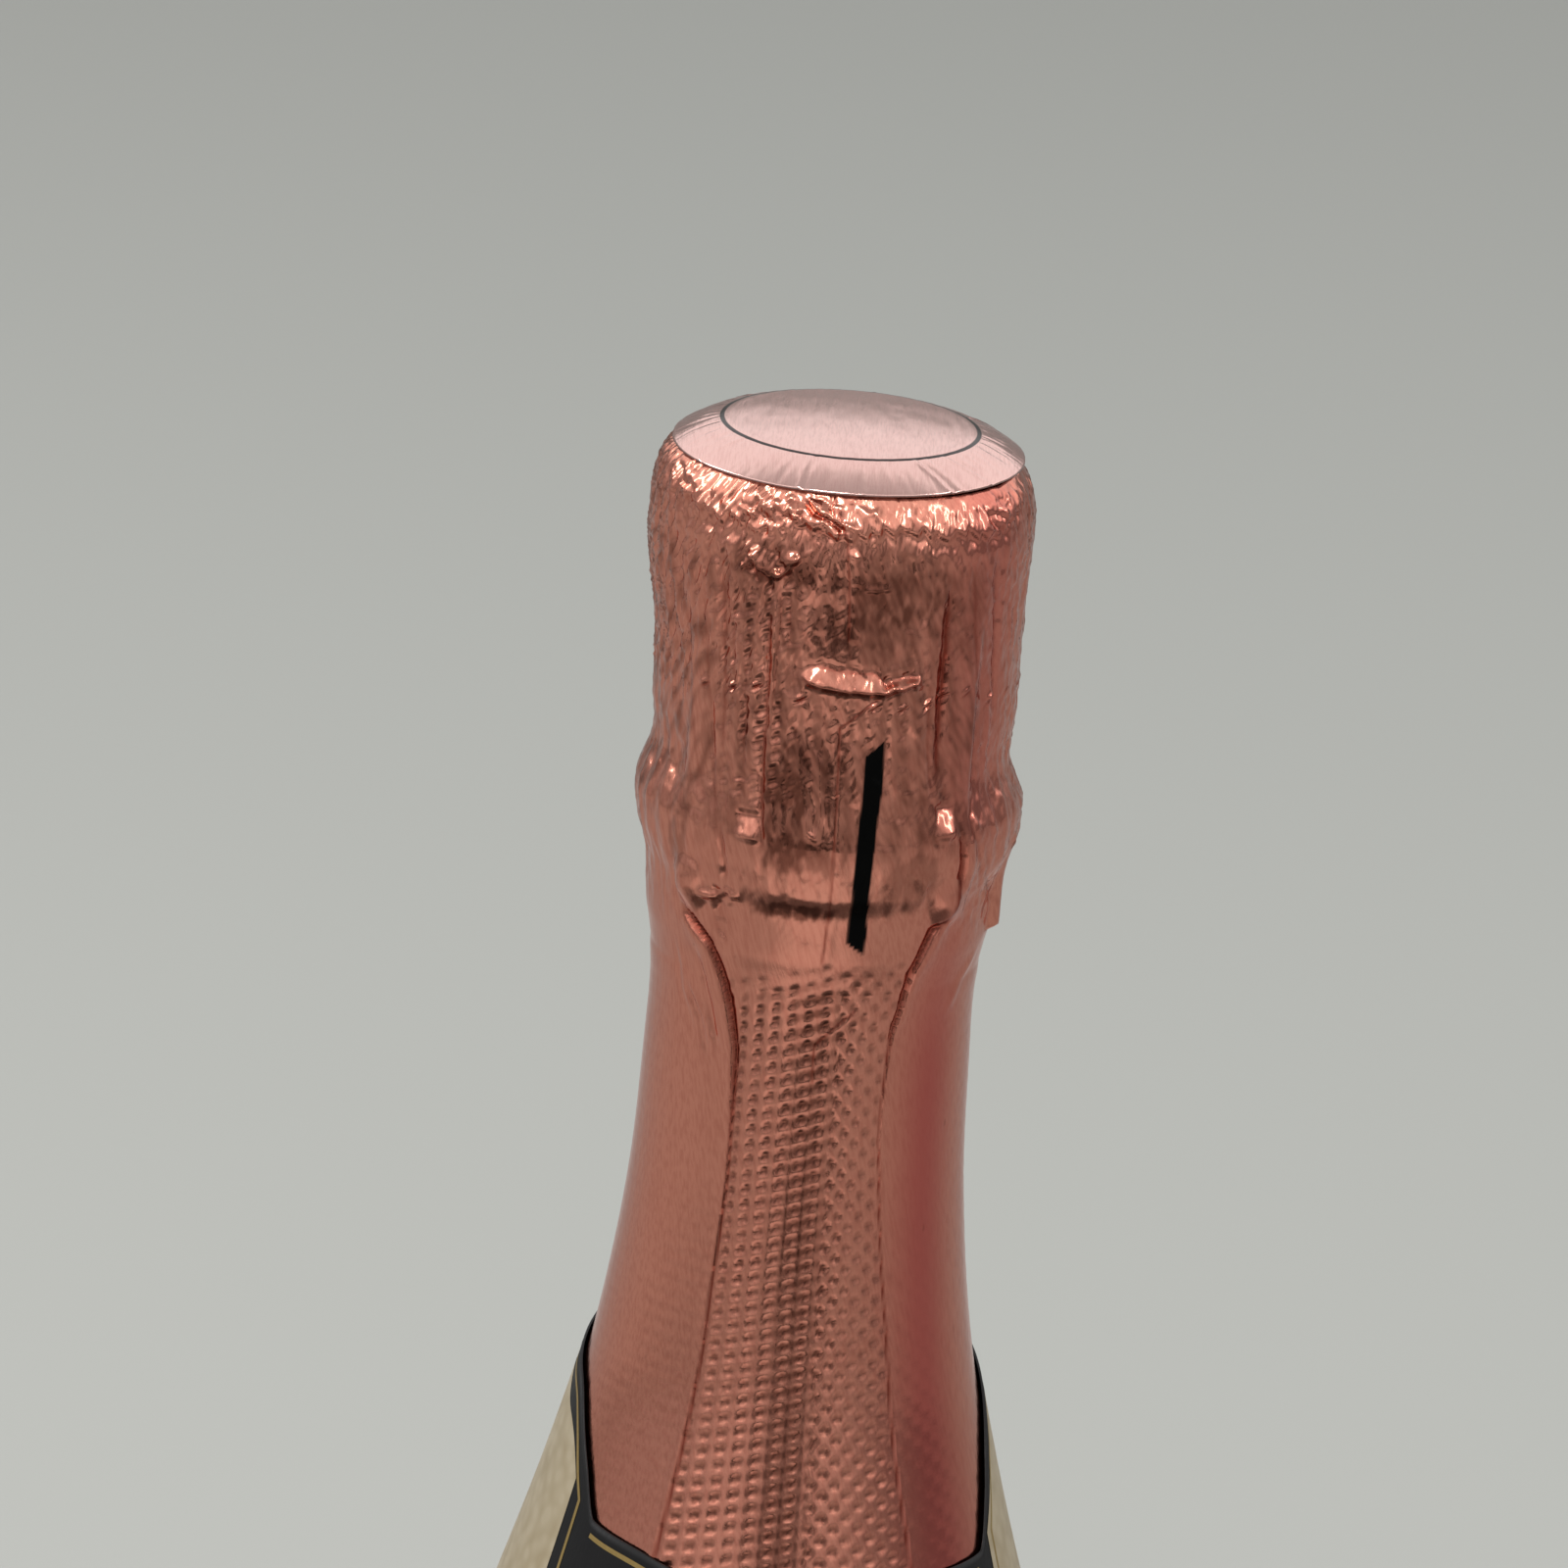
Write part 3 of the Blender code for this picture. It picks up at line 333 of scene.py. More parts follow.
VALLEYS = (
    # run, depth, width
    (((740, 552), (742, 620), (744, 700), (742, 780)), 0.20, 0.40),
    (((751, 594), (752, 660), (753, 724)), 0.12, 0.26),
    (((786, 606), (785, 720), (781, 800), (779, 880)), 0.32, 0.26),
    (((799, 590), (796, 650), (790, 730)), 0.16, 0.2),
    (((808, 600), (806, 690)), 0.10, 0.2),
    (((700, 560), (706, 640), (716, 760), (720, 830)), 0.12, 0.4),
    (((722, 560), (727, 680), (733, 800), (738, 880)), 0.14, 0.32),
    (((765, 640), (763, 760), (760, 860)), 0.10, 0.22),
    (((974, 590), (968, 640), (960, 700), (954, 760), (950, 815)), 0.44, 0.62),
    (((946, 690), (944, 760), (945, 815)), 0.20, 0.34),
    (((996, 560), (996, 640), (992, 740), (997, 830)), 0.22, 0.42),
    (((1019, 560), (1017, 650), (1014, 740)), 0.2, 0.36),
    (((736, 838), (738, 880), (742, 905)), 0.2, 0.3),
    (((1000, 850), (1003, 890), (1010, 925)), 0.16, 0.34),
    (((985, 790), (990, 850), (996, 900)), 0.18, 0.3),
    (((820, 508), (832, 524), (852, 534), (866, 546)), 0.42, 0.22),
    (((851, 503), (849, 520), (852, 532)), 0.30, 0.16),
    (((764, 562), (772, 580), (778, 594)), 0.20, 0.22),
    (((748, 640), (744, 600), (748, 570)), 0.16, 0.3),
    (((1004, 512), (1012, 528), (1022, 545)), 0.26, 0.24),
)
RIDGES = (
    # run, height, width
    (((793, 600), (791, 720), (787, 880)), 0.15, 0.24),
    (((973, 620), (966, 700), (961, 770)), 0.16, 0.34),
    (((1034, 580), (1029, 680), (1022, 740)), 0.13, 0.34),
    (((690, 870), (694, 905), (706, 935)), 0.22, 0.42),
    (((882, 526), (893, 524), (898, 533), (896, 548), (892, 562)), 0.30, 0.22),
    (((716, 468), (712, 486), (720, 500)), 0.22, 0.26),
    (((790, 523), (796, 540), (800, 552)), 0.20, 0.22),
    (((838, 508), (836, 522), (846, 536)), 0.26, 0.24),
    (((1033, 500), (1026, 520), (1032, 538)), 0.22, 0.26),
    (((994, 512), (1004, 530), (1008, 545)), 0.18, 0.24),
)
SHELVES = (
    # run from left to right, height, reach above it
    (((766, 560), (777, 577), (790, 590)), 0.60, 0.62),
    (((790, 590), (803, 583), (818, 566)), 0.55, 0.60),
    (((757, 578), (770, 575)), 0.16, 0.3),
    (((880, 603), (895, 604), (911, 602)), 0.13, 0.3),
    (((706, 917), (716, 910), (726, 914), (742, 911), (760, 918)), 0.42, 0.62),
    (((762, 532), (774, 541), (786, 538), (790, 548)), 0.24, 0.4),
    (((798, 520), (816, 530), (838, 540), (862, 552)), 0.34, 0.42),
    (((820, 506), (838, 522), (858, 536), (882, 541)), 0.26, 0.34),
    (((862, 566), (880, 570)), 0.10, 0.3),
    (((868, 594), (884, 597)), 0.10, 0.3),
)
SLITS = (
    (684, 664), (723, 694), (750, 697), (774, 696), (818, 709), (889, 718), (916, 719), (943, 716),
    (960, 707), (981, 704), (1008, 710), (1026, 705),
)
LOZENGE = ((826, 764), (833, 766), (837, 775), (837, 835), (832, 856), (824, 850), (823, 820))
LOOSE_FOLDS = (
    # run, height of the fold, depth of the groove beside it
    (((712, 960), (730, 1020), (738, 1075)), 0.22, 0.20),
    (((700, 985), (718, 1035), (730, 1085)), 0.12, 0.12),
    (((690, 950), (700, 1010), (716, 1060)), 0.10, 0.08),
)
SPREAD_FOLD = ((1000, 960), (975, 1000), (962, 1040))
LATTICE_TURN = (836, 1300)
# A place on the head that is more dented: middle, half width and half height in mm
DENTED_PLACE = ((865, 738), 6.5, 1.8)
# Pitches of the embossed dents: across, upwards, and both where they stand turned by an eighth
DENT_ACROSS, DENT_UP, DENT_TURNED = 1.40, 1.36, 1.34
# Vents on the side that the photograph doesn't show: how many all round, and their height
UNSEEN_VENTS, UNSEEN_VENT_Z = 45, 299.2
# Long creases there: turn, how far the foil stands out
UNSEEN_CREASES = ((2.35, -0.3), (-2.6, -0.26), (3.1, -0.2), (-2.05, 0.2))
# Smooth places: middle, half width and half height in mm, how far the crushing is taken out
SMOOTH_PLACES = (
    ((880, 664), 4.6, 1.5, 0.7), ((895, 620), 4.2, 3.6, 0.65), ((845, 800), 3.6, 7.0, 0.6),
    ((920, 830), 2.6, 5.0, 0.5), ((900, 960), 4.0, 4.0, 0.8), ((815, 970), 4.6, 3.4, 0.9),
)
# Crumpled places: middle, half width and half height in mm, how strongly
CRUMPLED_PLACES = (
    ((808, 520), 4.4, 2.1, 0.75), ((784, 572), 2.4, 1.6, 0.4), ((1018, 522), 2.4, 2.2, 0.5),
    ((727, 912), 2.4, 1.0, 0.8), ((735, 945), 1.2, 1.8, 0.5), ((704, 486), 2.2, 2.2, 0.45),
    ((702, 884), 1.6, 1.5, 0.35), ((984, 905), 1.5, 1.8, 0.25),
)
# Flat facets: middle, half width and half height in mm, lean outwards at the foot
FACETS = (
    ((764, 842), 1.1, 1.15, 0.52), ((962, 838), 0.95, 1.4, 0.58), ((716, 800), 1.2, 1.6, 0.16),
)
# Places of painted shade with a wavy edge, standing in for dark reflections: middle, half width and half
# height in mm, how much shade
PAINTED_SHADE_PLACES = (
    ((809, 929), 4.1, 0.95, 0.85), ((820, 876), 4.0, 1.9, 0.55), ((930, 900), 3.0, 2.9, 0.40),
    ((792, 574), 5.0, 1.9, 0.55), ((915, 600), 5.6, 3.6, 0.42), ((880, 646), 4.4, 1.6, 0.35),
    ((800, 840), 2.0, 6.0, 0.30), ((822, 790), 3.2, 4.2, 0.40), ((690, 862), 1.4, 2.4, 0.35),
)


def low_part(s):
    """1 on the neck, below the loose foil."""
    return 1.0 - ease((s - 271.8) / 3.0)


def rows_of(v, pitch):
    """Even rows, 1 in the middle of each and 0 between them."""
    return np.cos(TAU * v / pitch) * 0.5 + 0.5


def dimples(u, v, across, up):
    """Rows of round dents, 1 in the middle of each."""
    return rows_of(u, across) * rows_of(v, up)


def smoothness(phi, s):
    """How crushed the foil is: 1, and less in the smooth places."""
    crushed = np.ones(phi.shape)
    for pixel, wide, high, share in SMOOTH_PLACES:
        crushed -= share * patch(phi, s, pixel, wide, high)
    return np.clip(crushed, 0.12, 1.0)


def head_texture(phi, s, around, shoulder):
    """Pleats, crushed facets and streaks all over the loose foil."""
    head = ease((s - 276.0) / 5.0)
    crushed = smoothness(phi, s) * (1.0 - 0.55 * bell(phi, 0.5) * ease((290.0 - s) / 3.0))
    left = ease((-0.15 - phi) / 0.35) * ease((phi + 2.2) / 0.3)
    lean = around + 0.10 * (s - 300.0)
    pleat = creased(lean / 2.36, s / 16.0, 40, 3) - 0.5
    pleat += 0.45 * (creased(lean / 1.122, s / 9.0, 84, 4) - 0.5)
    high = head * (1.0 - shoulder) * (0.15 + 0.85 * crushed) * 0.16 * pleat
    crush = facets(around / 1.309, (s + 0.5 * around) / 1.7, 72, 5)
    high += head * (0.1 + 0.9 * crushed) * (0.145 - 0.06 * left) * crush
    fine = creased((around - 0.4 * s) / 0.7854, s / 1.9, 120, 6)
    high += head * (0.2 + 0.8 * crushed) * (0.055 - 0.03 * left - 0.02 * shoulder) * fine
    mottle = wave_noise((around - 0.3 * s) / 0.3927, s / 1.05, 240, 8)
    high += head * (0.5 + 0.5 * crushed) * (0.022 - 0.014 * shoulder) * mottle
    streak = creased((around - 0.34 * s) / 0.5984, s / 2.1, 157, 9)
    high += left * ease((s - 296.0) / 6.0) * 0.24 * streak
    slant = creased((around + 0.35 * s) / 0.6732, s / 2.6, 140, 10)
    ledge_zone = bell(s - 312.6, 2.2) * (1.0 - left)
    high += ledge_zone * 0.10 * slant
    radial = creased((around - 0.25 * s) / 0.4908, s / 4.5, 192, 7)
    high += shoulder * 0.12 * radial * ease((FOIL_END - 3.6 - s) / 1.5)
    return high, crushed


def painted_shade_places(phi, s, around):
    """How much painted shade the foil gets in the shaded places."""
    total = np.zeros(phi.shape)
    wavy = wave_noise(around / 0.7854, s / 2.2, 120, 27) + 0.6 * wave_noise(around / 0.3927, s / 1.0, 240, 28)
    for pixel, wide, high, share in PAINTED_SHADE_PLACES:
        total += share * ease((patch(phi, s, pixel, wide, high) - 0.40 + 0.42 * wavy) / 0.55)
    return total


def painted_head_shade(phi, s, around):
    """Painted shade on the head between its pale streaks: mottled on the side that the camera sees, in
    slanted streaks on its left.
    """
    front = ease((phi + 0.72) / 0.3) * ease((1.05 - phi) / 0.3)
    front = front * ease((s - 285.5) / 3.0) * ease((312.6 - s) / 1.2)
    around = around + 0.12 * (s - 300.0)
    broad = wave_noise(around / 1.178, s / 6.0, 80, 33)
    narrow = wave_noise((around + 0.35 * s) / 0.4712, s / 1.5, 200, 34)
    slanted = wave_noise((around - 0.45 * s) / 0.9425, s / 2.3, 100, 35)
    side = ease((-0.45 - phi) / 0.3) * ease((s - 285.0) / 4.0) * ease((312.5 - s) / 2.0)
    side = side * np.clip(0.16 + 0.62 * slanted, 0.0, 0.6)
    return side + front * np.clip(0.32 + 0.34 * broad + 0.32 * narrow, 0.0, 0.8)


def crumples(phi, s, around):
    """Crushed places, and a crushed band on the shoulder's far side."""
    zone = np.zeros(phi.shape)
    for pixel, wide, high, share in CRUMPLED_PLACES:
        zone += share * patch(phi, s, pixel, wide, high)
    back = 0.45 * ease((np.abs(phi) - 1.9) / 0.3) * bell(s - 313.5, 2.8)
    zone += back * (wave_noise(around / 11.78, s / 9.0, 8, 31) > -0.1)
    zone = np.minimum(zone, 1.0)
    rough = facets(around / 1.309, (s + 0.35 * around) / 0.95, 72, 11, 16.0)
    # Second value: painted shade where the crushed facets sink
    return zone * 0.62 * rough, zone * 0.3 * ease(-4.0 * rough)


def ledge(phi, s, around):
    """Where the shoulder breaks over the cork's edge in a row of teeth."""
    d, along = near_line(phi, s, seen(*LEDGE))
    reach = ends(along, 0.05) * (np.abs(phi) < 1.5)
    u = (around + 0.45 * (s - 313.0)) / 1.309 + 0.5 * wave_noise(around / 2.618, s / 30.0, 36, 12)
    tooth = np.abs(2.0 * (u - np.floor(u)) - 1.0) - 0.5
    d = d - 0.1 + 0.62 * tooth
    high = np.where(d > 0, 0.26 * bell(d, 1.3), 0.26 * bell(d, 0.26)) - 0.12 * bell(d + 0.8, 0.6)
    # Second value: painted shade in a thin line along the teeth
    return reach * high, reach * 0.35 * bell(d + 0.35, 0.16)


def shelf(phi, s):
    """The small pale shelf below the middle of the head: a ramp that ends in a sharp edge."""
    d, along = near_line(phi, s, seen(*SHELF_EDGE))
    full = ends(along, 0.10)
    thick = 0.25 + 1.15 * ease((0.72 - along) / 0.16) * ease((along + 0.03) / 0.14)
    thick = thick + 0.45 * bell(along - 0.82, 0.06)
    top = np.clip(1.0 - d / thick, 0.0, 1.0)
    high = full * 0.84 * np.where(d > 0, top, bell(d, 0.5) * 0.6 + 0.4 * bell(d, 3.0))
    high = high - full * 0.10 * bell(d - thick - 0.35, 0.3)
    # Second value: painted shade in thin lines along both edges of the shelf
    return high, full * (0.7 * bell(d + 0.2, 0.12) + 0.6 * bell(d - thick, 0.13))


def drawn_creases(phi, s, around):
    """Valleys, ridges, shelves and facets along the lines of the photograph, with painted shade in the
    valleys and beside the shelves.
    """
    high, deep_shade = np.zeros(phi.shape), np.zeros(phi.shape)
    for run, depth, width in VALLEYS:
        d, along = near_line(phi, s, seen(*run))
        wander = 0.10 * wave_noise(s / 1.7, np.full_like(s, width * 9.0), 97, 13)
        high -= depth * ends(along, 0.22) * bell(d + wander, width)
        deep_shade += depth * 2.3 * ends(along, 0.22) * bell(d + wander, width * 0.5)
    for run, height, width in RIDGES:
        d, along = near_line(phi, s, seen(*run))
        high += height * ends(along, 0.22) * np.exp(-np.abs(d) / width)
    for run, height, reach in SHELVES:
        d, along = near_line(phi, s, seen(*run))
        d = d + 0.12 * wave_noise(around / 0.5236, s / 1.4, 180, 14)
        high += height * ends(along, 0.16) * np.where(d > 0, bell(d, reach), bell(d, 0.15))
        deep_shade += height * 0.9 * ends(along, 0.16) * bell(d + 0.24, 0.13)
    for pixel, wide, tall, lean in FACETS:
        p, q = seen(pixel)[0]
        inside = patch(phi, s, pixel, wide, tall, 6.0)
        high += inside * lean * ((q - s) / tall + 0.25 * turn_from(phi, p) * ROUND_R / wide)
    d, along = near_line(phi, s, seen(*LOZENGE))
    high += 0.20 * ends(along, 0.1) * bell(d, 0.22)
    return high, deep_shade


def seam(phi, s):
    """The foil's own end, one layer over the other, with a line of painted shade along its edge."""
    high, deep_shade = np.zeros(phi.shape), np.zeros(phi.shape)
    for run in (SEAM_TOP, SEAM_LOW, SEAM_NECK):
        d, along = near_line(phi, s, seen(*run))
        over = ends(along, 0.04)
        high += 0.08 * over * bell(d - 0.3, 0.5) * (d > 0)
        deep_shade += 0.8 * over * bell(d + 0.06, 0.11)
    return high, deep_shade


def slit(across, up):
    """One small slanted vent, raised along one edge, with painted shade along the other."""
    along, off = across * 0.82 + up * 0.57, up * 0.82 - across * 0.57
    high = 0.34 * bell(along, 0.46) * bell(off, 0.17) - 0.24 * bell(along, 0.46) * bell(off + 0.32, 0.17)
    return np.stack([high, bell(along, 0.46) * bell(off + 0.27, 0.15)])


def slits(phi, s):
    """The row of vents, lower towards the outline, and an even row on the far side."""
    both = np.zeros((2, *phi.shape))
    for pixel in SLITS:
        p, q = seen(pixel)[0]
        full = 1.0 - 0.7 * ease((abs(p) - 0.9) / 0.3)
        both += full * slit(turn_from(phi, p) * HEAD_ROUND_R, s - q)
    step = TAU / UNSEEN_VENTS
    unseen = 0.5 * (np.abs(phi) > 1.35)
    return both + unseen * slit(turn_from(phi % step, 0.5 * step) * HEAD_ROUND_R, s - UNSEEN_VENT_Z)


def lattice(phi, s, around, panel, shoulder, crushed):
    """Embossed dents: strong between the two folds of the neck, faint on its sides and on the head."""
    a = phi * level_radius(s) ** 0.4 * 14.1**0.6
    low = low_part(s)
    blur = 1.0 - 0.35 * creased(around / 5.236, s / 7.0, 18, 21)
    turn = seen(LATTICE_TURN)[0][0] * NECK_ROUND_R
    skewed = a > turn + 0.25 * wave_noise(s / 2.3, np.zeros_like(s), 97, 22)
    straight = dimples(a, s - 0.33 * a, DENT_ACROSS, DENT_UP)
    skew = dimples((a + s) / 1.414, (s - a) / 1.414, DENT_TURNED, DENT_TURNED)
    dots = np.where(skewed, skew, straight) ** 1.2
    top = ease((276.7 - s + 0.2 * a + 0.9 * wave_noise(around / 2.36, s / 2.0, 40, 23)) / 3.6)
    right = 1.0 - 0.4 * ease((a - 2.6) / 3.4)
    high = -0.24 * top * right * panel * dots * blur
    outside = 1.0 - ease(panel * 3.0)
    level_rows = rows_of(s - 0.05 * a, 1.32) * (0.6 + 0.4 * np.cos(TAU * a / 1.4))
    slanted_rows = rows_of(s + 0.9 * a, 1.9) * (0.7 + 0.3 * np.cos(TAU * (s - a) / 1.9))
    high -= low * outside * np.where(phi > 0, 0.028 * slanted_rows, 0.022 * level_rows) * blur
    high -= low * ease((np.abs(phi) - 1.5) / 0.2) * 0.09 * straight**1.3 * blur
    # Painted shade in the dents, stronger in a band beside the turn of the lattice, where the dents run
    # together in dark slanted stripes
    beside = bell(a - turn + 2.0, 2.2)
    stripe = ease((rows_of(s - 0.33 * a, DENT_UP) - 0.30) / 0.4) * (1.0 - 0.7 * skewed)
    shade = right * (0.72 + 0.4 * beside) * ease((dots - 0.20) / 0.26) * blur
    shade = top * panel * np.maximum(shade, (0.18 + 0.62 * stripe) * beside)
    press = dimples(a, s - 0.5 * a, DENT_ACROSS, DENT_UP)
    some = 0.25 + 0.9 * ease((-0.12 - phi) / 0.2) + 0.7 * patch(phi, s, *DENTED_PLACE)
    some *= 0.35 + 0.65 * ease(1.8 * wave_noise(around / 4.712, s / 6.0, 20, 24) + 0.7)
    some *= ease((s - 289.5) / 3.0) * (1.0 - shoulder) * (1.0 - 0.65 * ease((-0.42 - phi) / 0.25))
    press = press * some * (0.35 + 0.65 * crushed)
    # The dents pressed into the head get painted shade too
    return high - 0.19 * press, shade + 0.28 * ease((press - 0.25) / 0.4)


def neck_folds(left, right):
    """The two folds that run down the neck, each with a lip over a groove, and painted shade in the groove.
    """
    high, deep_shade = 0.0, 0.0
    for (d, along), out, shadow in ((left, -1.0, 1.35), (right, 1.0, 0.85)):
        d = d * out
        fade = ease(along / 0.06)
        wide = 1.0 - ease((along - 0.16) / 0.22)
        lip = bell(np.maximum(d, 0.0), 0.5 + 0.9 * wide) * (d > -0.12)
        groove = bell(d + 0.22, 0.15 + 0.22 * wide)
        high = high + fade * (0.14 + 0.24 * wide) * lip - fade * (0.10 + 0.22 * wide) * groove
        deep_shade = deep_shade + fade * bell(d + 0.16 + 0.1 * wide, (0.11 + 0.2 * wide) * shadow)
    return high, deep_shade


def loose_folds(phi, s):
    """Soft folds beside the neck's two folds."""
    high = np.zeros(phi.shape)
    for run, height, depth in LOOSE_FOLDS:
        d, along = near_line(phi, s, seen(*run))
        high += ends(along, 0.3) * (height * bell(d, 0.4) - depth * bell(d + 0.6, 0.35))
    d, along = near_line(phi, s, seen(*SPREAD_FOLD))
    return high + 0.14 * ends(along, 0.3) * bell(d, 0.6)


def unseen_creases(phi, s):
    """Long creases on the side that the photograph doesn't show, with painted shade along those that dip in.
    """
    high, deep_shade = np.zeros(phi.shape), np.zeros(phi.shape)
    for n, (centre, depth) in enumerate(UNSEEN_CREASES):
        d = turn_from(phi, centre + 0.07 * np.sin(s / 9.0 + n)) * ROUND_R
        run = ease((s - 224.0) / 8.0) * ease((276.0 - s) / 10.0)
        high += depth * run * (bell(d, 0.5) - 0.6 * bell(d - 0.9, 0.5))
        deep_shade += max(-depth, 0.0) * run * 2.0 * bell(d, 0.25)
    return high, deep_shade


def foil_relief(phi, s):
    """How far the foil stands off its plain shape, and its painted shade: in folds, creases, grooves, vents
    and dents, and in broad shaded places.
    """
    around = phi * ROUND_R
    shoulder = ease((s - 312.0) / 3.0)
    left = near_line(phi, s, seen(*LEFT_FOLD))
    right = near_line(phi, s, seen(*RIGHT_FOLD))
    between = (left[0] > 0) & (right[0] < 0) & (np.abs(phi) < 1.2)
    panel = np.where(between, ease(np.minimum(left[0], -right[0]) / 0.8), 0.0)
    high, crushed = head_texture(phi, s, around, shoulder)
    dents, shade = lattice(phi, s, around, panel, shoulder, crushed)
    # A soft ring at the foot of the loose foil, a bulge over the belt wire behind, slow waves on the neck
    high += dents + loose_folds(phi, s) + 0.2 * bell(s - 273.2, 1.8)
    high += 0.38 * bell(s - 282.9, 1.15) * bell(phi, 0.8)
    shade += painted_shade_places(phi, s, around) + painted_head_shade(phi, s, around)
    high += (1.0 - ease((s - 262.0) / 14.0)) * 0.05 * wave_noise(around / 7.854, s / 14.0, 12, 25)
    deep_shade = 0.0
    for more, darker in (
        crumples(phi, s, around), ledge(phi, s, around), shelf(phi, s), drawn_creases(phi, s, around),
        seam(phi, s), neck_folds(left, right), unseen_creases(phi, s), slits(phi, s),
    ):
        high, deep_shade = high + more, deep_shade + darker
    return high, np.clip(deep_shade, 0.0, 1.0), np.clip(shade, 0.0, 0.9)


# The disc on top

DISC_AT = -0.42
DISC_FLAT_R, DISC_R = 10.1, 15.0
DISC_TOP, DISC_CROWN, DISC_BREAK, DISC_FALL = 320.9, 0.4, 320.5, 1.98


def disc_top(r):
    """Height of the disc: a slight crown, a soft edge and a bevel down to the rim."""
    flat = DISC_TOP - DISC_CROWN * (r / DISC_FLAT_R) ** 2
    t = np.clip((r - DISC_FLAT_R) / (DISC_R - DISC_FLAT_R), 0.0, 1.0)
    return np.where(r < DISC_FLAT_R, flat, DISC_BREAK - DISC_FALL * t**1.6)


# The wires under the foil

LEG_OUT, EYE_OUT, LOOP_OUT = 15.98, 16.60, 15.68
LOOP_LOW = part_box("cage_loop")[0][2] / MM + 0.4
LOOP_HALF_TURN = 0.19
EYE_Z = 282.6
WIRE_CLEAR = 0.12


def wire_shape(phi, s):
    """Least radius that clears the wires under the foil."""
    plain = level_radius(s) - 1.0
    least = plain
    for leg in LEGS:
        t = np.abs(turn_from(phi, leg))
        over = (1.0 - ease((t - 0.032) / 0.16)) * ease((s - 281.0) / 1.4)
        least = np.maximum(least, plain + (LEG_OUT - plain) * over)
        eye = np.exp(-(((t * HEAD_ROUND_R / 2.2) ** 2 + ((s - EYE_Z) / 3.0) ** 2) ** 1.3))
        least = np.maximum(least, plain + (EYE_OUT - plain) * eye)
    t = turn_from(phi, math.pi / 2)
    out = LOOP_OUT / np.cos(np.clip(t, -LOOP_HALF_TURN, LOOP_HALF_TURN))
    flat = 1.0 - ease((np.abs(t) - LOOP_HALF_TURN) / 0.15)
    pocket = flat * ease((s - LOOP_LOW + 1.0) / 1.3) * ease((286.5 - s) / 2.0)
    return np.maximum(least, plain + (out - plain) * pocket)


def straight_front(phi, s):
    """How far the foil hangs straight from the head to the bead behind, clear of the waist."""
    chord = 16.22 + 0.24 * ease((301.4 - s) / 14.0)
    fill = np.maximum(chord - level_radius(s), 0.0) * ease((SIDE_TOP - s) / 2.0)
    return fill * ease((s - 286.2) / 1.5) * np.exp(-((phi / 0.78) ** 4))


def foil_points(phi, s):
    """The finished foil: its points, and its painted shade in folds and in broader shaded places."""
    r, z, nr, nz = profile(s)
    high, deep_shade, shade = foil_relief(phi, s)
    # Creases flatten out under the disc
    high = high * (0.35 + 0.65 * ease((FOIL_END - 2.6 - s) / 2.6)) + straight_front(phi, s)
    # The head stands to the left and the bead's right side is fuller
    high = high - 0.50 * ease((s - 301.0) / 9.0) * np.sin(phi)
    high = high + 0.35 * bell(s - 285.0, 6.0) * np.maximum(np.sin(phi), 0.0)
    edge = ease((FOIL_END - s) / 3.0)
    # The foil lies softly over the wires, and no crease dips into them
    wires = wire_shape(phi, s)
    bare = r + nr * high
    near = wires + WIRE_CLEAR - r
    ridge = 0.5 * (near + np.sqrt(near**2 + 0.02))
    side = ease((314.5 - s) / 2.0)
    out = bare + side * ridge * np.exp(-np.maximum(high, 0.0) / 0.5)
    gap = out - wires
    raised = wires + 0.5 * (gap + np.sqrt(gap * gap + 0.004))
    out = np.where(edge < 1.0, r + nr * high * edge, out * (1.0 - side) + raised * side)
    up = z + nz * high * edge
    # It stays under the disc
    from_disc = np.hypot(out * np.sin(phi) - DISC_AT, out * np.cos(phi))
    roof = disc_top(np.minimum(from_disc, DISC_R)) - 0.34 + 3.0 * ease((from_disc - 15.1) / 0.5)
    return spot_on(out, np.minimum(up, roof), phi), deep_shade, shade


# Meshes

WELD_GAP = 1e-6


def new_mesh(name, verts, faces, material, body):
    mesh = bpy.data.meshes.new(name)
    mesh.from_pydata((np.asarray(verts).reshape(-1, 3) * MM).tolist(), [], faces)
    mesh.validate()
    mesh.update()
    mesh.polygons.foreach_set("use_smooth", [True] * len(mesh.polygons))
    mesh.materials.append(material)
    piece = bpy.data.objects.new(name, mesh)
    bpy.context.scene.collection.objects.link(piece)
    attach(piece, body)
    return piece


def grid_faces(n, m, wrap):
    """Faces of an n x m grid of points, outward when n runs anticlockwise and m runs up."""
    i = np.arange(n if wrap else n - 1)[:, None]
    j = np.arange(m - 1)[None, :]
    k = (i + 1) % n
    quads = np.stack([i * m + j, k * m + j, k * m + j + 1, i * m + j + 1], -1)
    return quads.reshape(-1, 4).tolist()


def paint(piece, name, values):
    layer = piece.data.attributes.new(name, "FLOAT", "POINT")
    layer.data.foreach_set("value", np.asarray(values, dtype=np.float32).ravel())


def full_turn(count):
    """Even turns all the way round."""
    return np.arange(count) * TAU / count


def even(low, high, step):
    """Even values from low to high, about a step apart."""
    return np.linspace(low, high, max(int(round((high - low) / step)), 1) + 1)


def turned(name, outline, steps, material, body, relief=None):
    """Turn an outline of (radius, height) points, from the bottom outwards and up, about the axis."""
    outline = np.array(outline, float)
    PHI, K = np.meshgrid(full_turn(steps), np.arange(len(outline)), indexing="ij")
    r, z = outline[K, 0], outline[K, 1]
    if relief:
        r = relief(PHI, r, z)
    piece = new_mesh(name, spot_on(r, z, PHI), grid_faces(steps, len(outline), True), material, body)
    weld(piece)
    return piece


